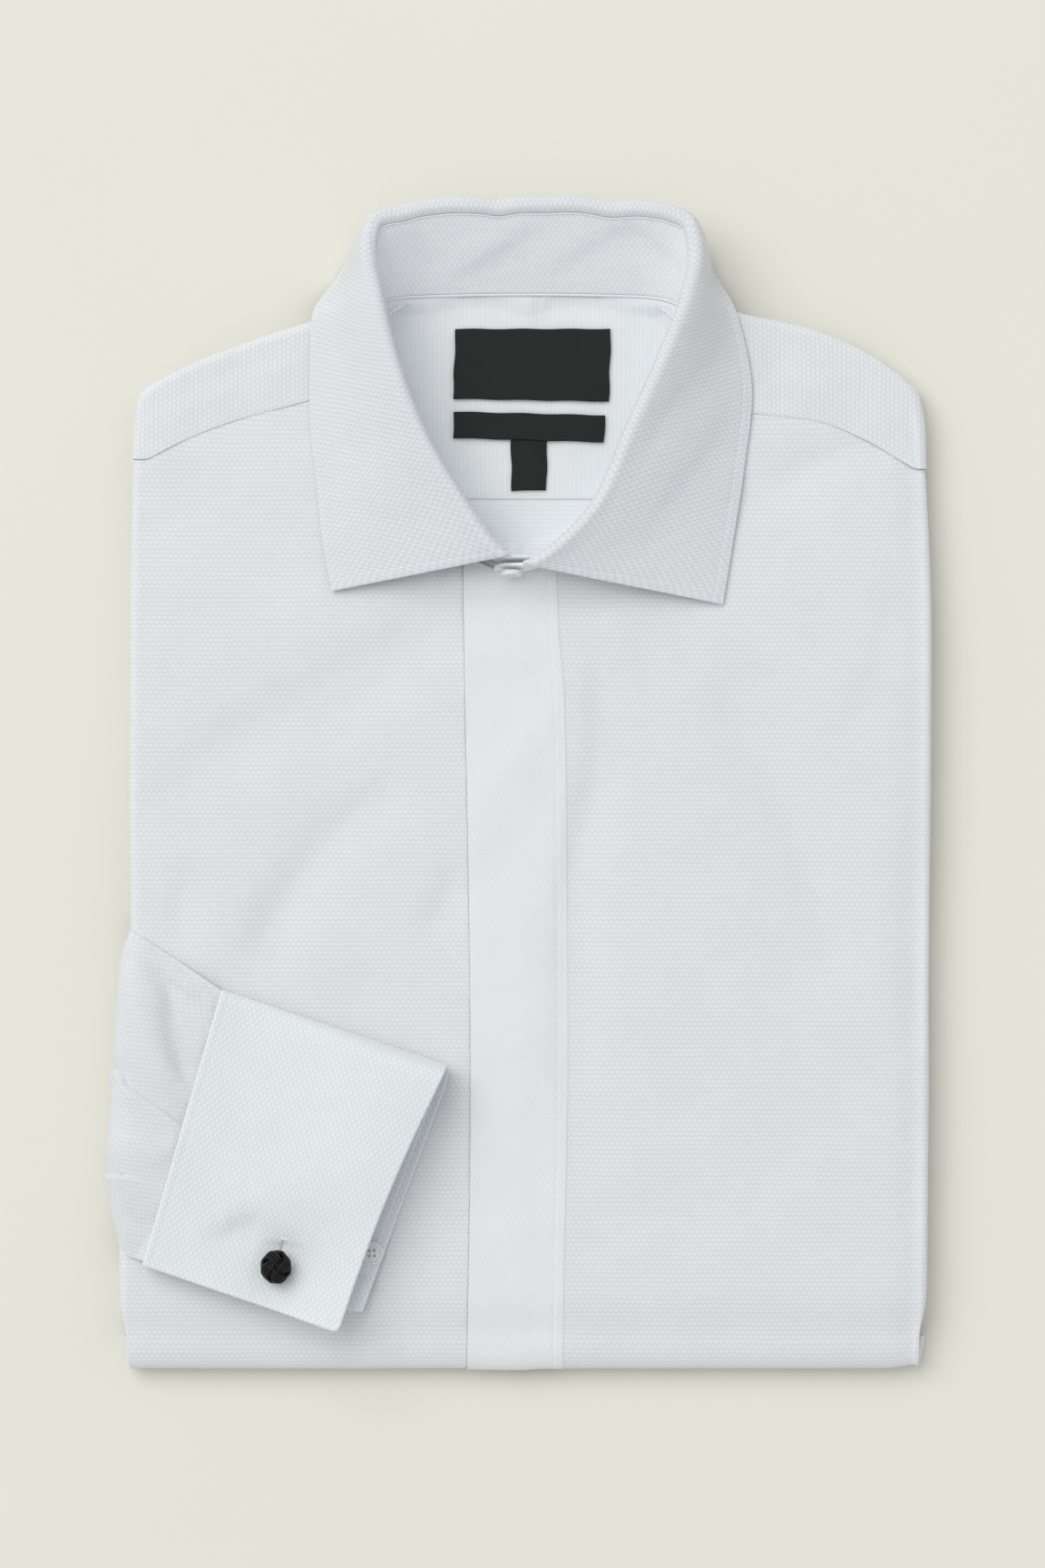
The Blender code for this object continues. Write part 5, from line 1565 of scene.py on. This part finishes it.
class SHIRT_OT_cuff(bpy.types.Operator):
    """Makes the cuff with its inner ply, edge stitching and worked buttonhole."""

    bl_idname = "shirt.cuff"
    bl_label = "Cuff"

    def execute(self, context):
        p = context.scene.shirt_cloth
        u = spaced(CUFF_DEPTH, 1.2, *rims(CUFF_DEPTH), (0, 5.5, 0.4), (48, 58, 0.35))
        fine = (98, 128, 0.5), (192, 203, 0.35), (206, 211, 0.4)  # the fold, the buttonhole and the edge
        v = spaced(CUFF_ROUND, 1.3, *rims(CUFF_ROUND), *fine)
        surface = Surface(cuff, u, v, CUFF_WALL, 0.0, swell=hem(CUFF_STITCHES, "ends"))
        piece = cloth("french_cuff", surface, cuff_cotton())
        u, v = spaced(82, 1.8, *rims(82)), spaced(200, 2.0, *rims(200), (95, 118, 0.6))
        lining = Surface(cuff_lining, u, v, WALL, 0.0)
        inner = cloth("french_cuff_lining", lining, inside_cotton())
        surface.outer, surface.normal = surface.inner, -surface.normal
        places, normals = surface.line("left", CUFF_STITCHES)
        upper = places[:, 2] > HEIGHT + CUFF_MIDDLE
        lines = [surface.line("top", CUFF_STITCHES), (places[upper], normals[upper])]
        sewing = stitches("cuff_stitches", lines, sewing_thread(), p.pitch)
        declare(surface, "cuff", extra=[sewing, buttonhole()])
        return {"FINISHED"}


def buttonhole():
    """A worked buttonhole: bar stitches side by side round a slot that points up from the knot."""
    start, end = SLIT_ENDS
    length = np.hypot(*(end - start))
    way = (end - start) / length
    turn = np.linspace(0, 2 * math.pi, SLIT_STITCHES, endpoint=False)
    across = np.array([way[1], -way[0]])
    shift = np.sign(np.cos(turn))[:, None] * way * (length / 2 - 0.7)
    radial = np.cos(turn)[:, None] * way + np.sin(turn)[:, None] * across
    rim = start + way * length / 2 + shift + SLIT_ROUND * radial
    lines = []
    for spot, out in zip(rim, radial):
        ends = np.stack([spot - out * STITCH_REACH, spot, spot + out * STITCH_REACH])
        z = cuff_top(ends[:, 0], ends[:, 1]) + 0.05
        lines.append((np.column_stack([ends, z]), np.tile([0.0, 0.0, 1.0], (3, 1))))
    return stitches("buttonhole_stitches", lines, sewing_thread(), 2.95, 1.3, 0.15, 0.3)


def cuff_top(x, y):
    """Height of the cuff's upper face over a plan position, from the nearest of its own points."""
    u, v = np.meshgrid(np.linspace(0.3, 0.75, 200), np.linspace(0.86, 1, 150))
    px, py, pz = cuff(u.ravel(), v.ravel())
    nearest = ((px[:, None] - x) ** 2 + (py[:, None] - y) ** 2).argmin(axis=0)
    return pz[nearest] + CUFF_WALL / 2


def sphere_way(latitude, longitude):
    """Unit vectors from a ball's centre at latitudes and longitudes in radians."""
    level = np.cos(latitude)
    return np.stack([level * np.cos(longitude), level * np.sin(longitude), np.sin(latitude)])


def knot_cords(centre_z, height, count):
    """A Turk's head braid on a ball: latitude swings bights times while longitude goes round leads times.

    Three cords lie side by side along it, and the path goes over and under itself in turn.
    """
    p = bpy.context.scene.shirt_knot
    t = np.linspace(0, 2 * math.pi, count, endpoint=False)
    swing = np.radians(BRAID_SWING)
    latitude, longitude = swing * np.sin(p.bights * t), p.leads * t
    way = sphere_way(latitude, longitude)
    ahead = np.roll(way, -1, axis=1) - np.roll(way, 1, axis=1)
    side = np.cross(way, ahead, axis=0)
    side /= np.linalg.norm(side, axis=0)
    over = np.cos(p.bights * (p.leads - 1) * t + math.pi / 2)
    for lane in (-1, 0, 1):
        place = way + side * lane * CORD_SPACING * p.cord / p.radius
        place /= np.linalg.norm(place, axis=0)
        reach = p.radius - p.cord - BRAID_DEPTH * (1 - over) / 2
        squash = np.array([*BALL_SPREAD, height / 2 / p.radius])[:, None]
        yield (place * reach * squash + np.array([*KNOT, centre_z])[:, None]).T


class SHIRT_OT_knot(bpy.types.Operator):
    """Makes the silk knot: a braided ball on each side of the cuff, and the cord between them."""

    bl_idname = "shirt.knot"
    bl_label = "Silk knot"

    def execute(self, context):
        p = context.scene.shirt_knot
        for name, node_name, height, count in (
            ("knot_ball_upper", "knot_top", KNOT_HEIGHT, 320),
            ("knot_ball_under", "knot_under", UNDER_KNOT_HEIGHT, 160),
        ):
            low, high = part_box(node_name)
            centre = (low.z + high.z) / 2 / MM
            cords = [
                tube(f"{name}_{i}", path, p.cord, silk_cord(), closed=True)
                for i, path in enumerate(knot_cords(centre, height, count))
            ]
            squash = height / 2 / p.radius
            cords.append(ball(f"{name}_core", centre, p.radius - CORE_DEPTH, squash, silk_cord()))
            piece = join(name, cords)
            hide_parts(node_name)
        low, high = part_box("knot_cord")
        rise = np.linspace(low.z / MM - LINK_END, high.z / MM + LINK_END, 12)
        strands = []
        for i in range(3):
            angle = rise * LINK_TWIST + i * 2 * math.pi / 3
            path = np.column_stack([KNOT[0] + 0.65 * np.cos(angle), KNOT[1] + 0.65 * np.sin(angle), rise])
            strands.append(tube(f"link_{i}", path, LINK_RADIUS, silk_cord()))
        piece = join("knot_link_cord", strands)
        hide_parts("knot_cord")
        return {"FINISHED"}


def ball(name, centre_z, radius, squash, finish):
    """A flattened ball: rings of points at even latitudes, with a point at each pole."""
    latitude = np.linspace(-math.pi / 2, math.pi / 2, 15)[1:-1]
    longitude = np.linspace(0, 2 * math.pi, 25)[:-1]
    lat, lon = np.meshgrid(latitude, longitude, indexing="ij")
    way = sphere_way(lat, lon) * np.array([1, 1, squash])[:, None, None]
    points = way.reshape(3, -1).T
    points = np.concatenate([points, [[0, 0, -squash], [0, 0, squash]]]) * radius + [*KNOT, centre_z]
    index = ringed(np.arange(lat.size).reshape(lat.shape))
    south, north = len(points) - 2, len(points) - 1
    low, high = index[0].tolist(), index[-1].tolist()
    ends = [(south, b, a) for a, b in zip(low, low[1:])] + [(north, a, b) for a, b in zip(high, high[1:])]
    return piece_from(name, points, quads(index), finish, caps=ends)


class SHIRT_OT_buttons(bpy.types.Operator):
    """Gives the neck button and the cuff's button their resin, and sews the cuff's on."""

    bl_idname = "shirt.buttons"
    bl_label = "Buttons"

    def execute(self, context):
        for name in ("neck_button", "cuff_button"):
            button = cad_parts[name]
            button.data.materials.clear()
            button.data.materials.append(button_resin())
        low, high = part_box("cuff_button")
        centre = (low + high) / 2 / MM
        holes = np.array([(1, 1), (-1, -1), (1, -1), (-1, 1)]) * BUTTON_RADIUS * BUTTON_HOLES * math.sqrt(0.5)
        lines = []
        for a, b in ((0, 1), (2, 3)):
            ends = np.stack([holes[a], holes[b]]) + [centre.x, centre.y]
            z = [high.z / MM - 0.25] * 2
            lines.append((np.column_stack([ends, z]), np.tile([0.0, 0.0, 1.0], (2, 1))))
        sewing = stitches("button_thread", lines, sewing_thread(), 1.25, 2.4, 0.28, 0.2)
        return {"FINISHED"}


def rim_path(count):
    """The packet's outline in plan as points, each with its way out and how its edge shows there.

    The kinds are 0 where a folded edge shows, 1 at the bottom fold and 2 behind the sleeve.
    """
    y = np.linspace(ROLL_START, SHOULDER_TOP, count)
    right = np.stack([right_fold(y) - RIM_SET, y])
    x = np.linspace(RIGHT_EDGE["x"][-1], LEFT_EDGE["x"][-1], count)[1:-1] * 0.966 + 0.15
    back = np.stack([x, spline(x, SHOULDER["x"], SHOULDER["y"]) - SIDE_RADIUS - RIM_SET])
    y = y[::-1]
    left = np.stack([left_fold(y) + RIM_SET, y])
    x = np.linspace(left[0, -1], right[0, 0], count)[1:-1]
    foot = np.stack([x, np.full(x.shape, ROLL_START)])
    path = np.concatenate([right, back, left, foot], axis=1)
    run = np.roll(path, -2, axis=1) - np.roll(path, 2, axis=1)
    out = np.stack([run[1], -run[0]]) / np.hypot(*run)
    kind = np.zeros(path.shape[1])
    kind[path[1] < ROLL_START + 5] = 1
    kind[(path[0] < 0) & (path[1] > BEHIND_SLEEVE[0]) & (path[1] < BEHIND_SLEEVE[1])] = 2
    return path, out, kind


def edge_reach(z, s, share):
    """How far a folded edge stands out at a height: half rounds one over another, uneven along them."""
    reach = np.full(np.broadcast(z, s).shape, 0.2)
    for i, (level, radius, out) in enumerate(zip(*EDGE_FOLDS.values())):
        level = level * share + 0.25 * np.sin(s / 41 + i * 2.1) * share
        radius = radius * share
        uneven = 0.75 * np.sin(s / 33 + i * 1.7) + 0.35 * np.sin(s / 11.3 + i * 4.1)
        bulge = np.sqrt(np.maximum(1 - ((z - level) / radius) ** 2, 0))
        reach = np.maximum(reach, (out + uneven - radius) + radius * bulge - 9 * (bulge == 0))
    return reach


def packet(columns):
    """The hidden layers as rings of one closed form: in under the packet, up its edge and over its top."""
    path, out, kind = rim_path(columns)
    s = np.insert(np.cumsum(np.hypot(*np.diff(path, axis=1))), 0, 0)
    share = height_share(*path)
    centre = point(2.0, -30.0)
    rings = []
    for t in IN_UNDER:
        x, y = blend(centre, path, max(t, 0.004))
        rings.append(np.stack([x, y, underside(x, y)]))
    covered = top(*path) - WALL - 0.65
    covered = np.where(neck_reach(*path) > -14, 2.4, covered)
    peak = np.minimum(EDGE_TOP * share, covered)
    for level in np.linspace(0, 1, EDGE_RINGS):
        z = level * peak
        reach = edge_reach(z, s, peak / EDGE_TOP)
        reach = np.where(kind == 1, FOOT_SET, np.where(kind == 2, SLEEVE_SET, reach))
        soft = ease(level / 0.06)
        place = path + out * (reach * soft + (reach - 0.8) * (1 - soft))
        rings.append(np.stack([*place, z]))
    for t in OVER_TOP:
        x, y = blend(centre, path, max(t, 0.004))
        well = ease((neck_reach(x, y) + 20) / 9)
        over = blend(top(x, y) - 2.4 - trough_depth(x, y) * 0.2, 2.3, well)
        rings.append(np.stack([x, y, np.minimum(over, blend(peak, over, ease((1 - t) / 0.04)))]))
    return np.array(rings), s


def underside(x, y):
    """The folded back: side panels turned in flat on the table, the back a little up between them."""
    between = ease((32 + 3 * np.sin(y / 60) - np.abs(x - 3)) / 1.2)
    tail = ease((y + 118 + 2 * np.sin(x / 40)) / 1.2)
    return BACK_LIFT * between * tail


class SHIRT_OT_packet(bpy.types.Operator):
    """Makes the hidden layers: the folded back, second sleeve and tails, one folded edge over another."""

    bl_idname = "shirt.packet"
    bl_label = "Hidden layers"

    def execute(self, context):
        rings, s = packet(PACKET_COLUMNS)
        count = rings.shape[2]
        index = ringed(np.arange(rings.shape[0] * count).reshape(-1, count))
        points = rings.transpose(0, 2, 1).reshape(-1, 3)
        caps = [index[0, :-1][::-1].tolist(), index[-1, :-1].tolist()]
        uv = np.column_stack([points[:, 0], points[:, 1] + points[:, 2]])
        side = slice(len(IN_UNDER) * count, (len(IN_UNDER) + EDGE_RINGS) * count)
        uv[side] = np.column_stack([np.tile(s, EDGE_RINGS), points[side, 2]])
        piece = piece_from("packet_layers", points, quads(index), birdseye_cotton(), uv, caps)
        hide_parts("folded_layers")
        return {"FINISHED"}


class SHIRT_OT_stage(bpy.types.Operator):
    """Makes the pale floor, the soft light from the upper left and the camera straight above."""

    bl_idname = "shirt.stage"
    bl_label = "Stage"

    def execute(self, context):
        scene, p = context.scene, context.scene.shirt_stage
        corners = np.array([(a * FLOOR_HALF, b * FLOOR_HALF, FLOOR_LEVEL) for a, b in SQUARE])
        mesh = bpy.data.meshes.new("floor_board")
        mesh.from_pydata((corners * MM).tolist(), [], [(0, 1, 2, 3)])
        floor = bpy.data.objects.new("floor_board", mesh)
        scene.collection.objects.link(floor)
        mesh.materials.append(painted_board())
        world = bpy.data.worlds.new("studio_room")
        world.use_nodes = True
        scene.world = world
        sky = world.node_tree.nodes["Background"]
        sky.inputs["Color"].default_value = linear(ROOM_COLOUR)
        sky.inputs["Strength"].default_value = p.fill
        lamp = bpy.data.lights.new("key_softbox", "AREA")
        lamp.shape, lamp.size, lamp.energy = "DISK", KEY_SIZE, p.key
        lamp.color = KEY_COLOUR
        light = bpy.data.objects.new("key_softbox", lamp)
        light.location = KEY_PLACE
        light.rotation_euler = Vector(KEY_PLACE).to_track_quat("Z", "Y").to_euler()
        scene.collection.objects.link(light)
        view = bpy.data.cameras.new("camera_above")
        view.sensor_fit = "VERTICAL"
        view.sensor_height = view.sensor_width = SENSOR
        view.lens = SENSOR * p.distance / p.frame_height
        view.clip_end = 20.0
        camera = bpy.data.objects.new("camera_above", view)
        camera.location = (*CAMERA_CENTRE, p.distance + HEIGHT * MM)
        scene.collection.objects.link(camera)
        scene.camera = camera
        scene.view_settings.view_transform = "Standard"
        return {"FINISHED"}


OPERATORS = (
    SHIRT_OT_packet,
    SHIRT_OT_fronts,
    SHIRT_OT_placket,
    SHIRT_OT_yoke,
    SHIRT_OT_inside,
    SHIRT_OT_labels,
    SHIRT_OT_collar,
    SHIRT_OT_sleeve,
    SHIRT_OT_cuff,
    SHIRT_OT_knot,
    SHIRT_OT_buttons,
    SHIRT_OT_stage,
)
GROUPS = {"shirt_cloth": ShirtCloth, "shirt_knot": ShirtKnot, "shirt_stage": ShirtStage}


class SHIRT_PT_sidebar(bpy.types.Panel):
    """Lists the sizes, colours and pieces in the sidebar."""

    bl_idname = "SHIRT_PT_sidebar"
    bl_label = "Folded dress shirt"
    bl_space_type = "VIEW_3D"
    bl_region_type = "UI"
    bl_category = "Shirt"

    def draw(self, context):
        for name, group in GROUPS.items():
            box = self.layout.box()
            for key in group.__annotations__:
                box.prop(getattr(context.scene, name), key)
        for operator in OPERATORS:
            self.layout.operator(operator.bl_idname)


def register():
    for group in (*GROUPS.values(), *OPERATORS, SHIRT_PT_sidebar):
        bpy.utils.register_class(group)
    for name, group in GROUPS.items():
        setattr(bpy.types.Scene, name, bpy.props.PointerProperty(type=group))


def unregister():
    for name in GROUPS:
        delattr(bpy.types.Scene, name)
    for group in reversed((*GROUPS.values(), *OPERATORS, SHIRT_PT_sidebar)):
        bpy.utils.unregister_class(group)


def main():
    register()
    for operator in OPERATORS:
        group, name = operator.bl_idname.split(".")
        getattr(getattr(bpy.ops, group), name)()


if __name__ == "__main__":
    main()
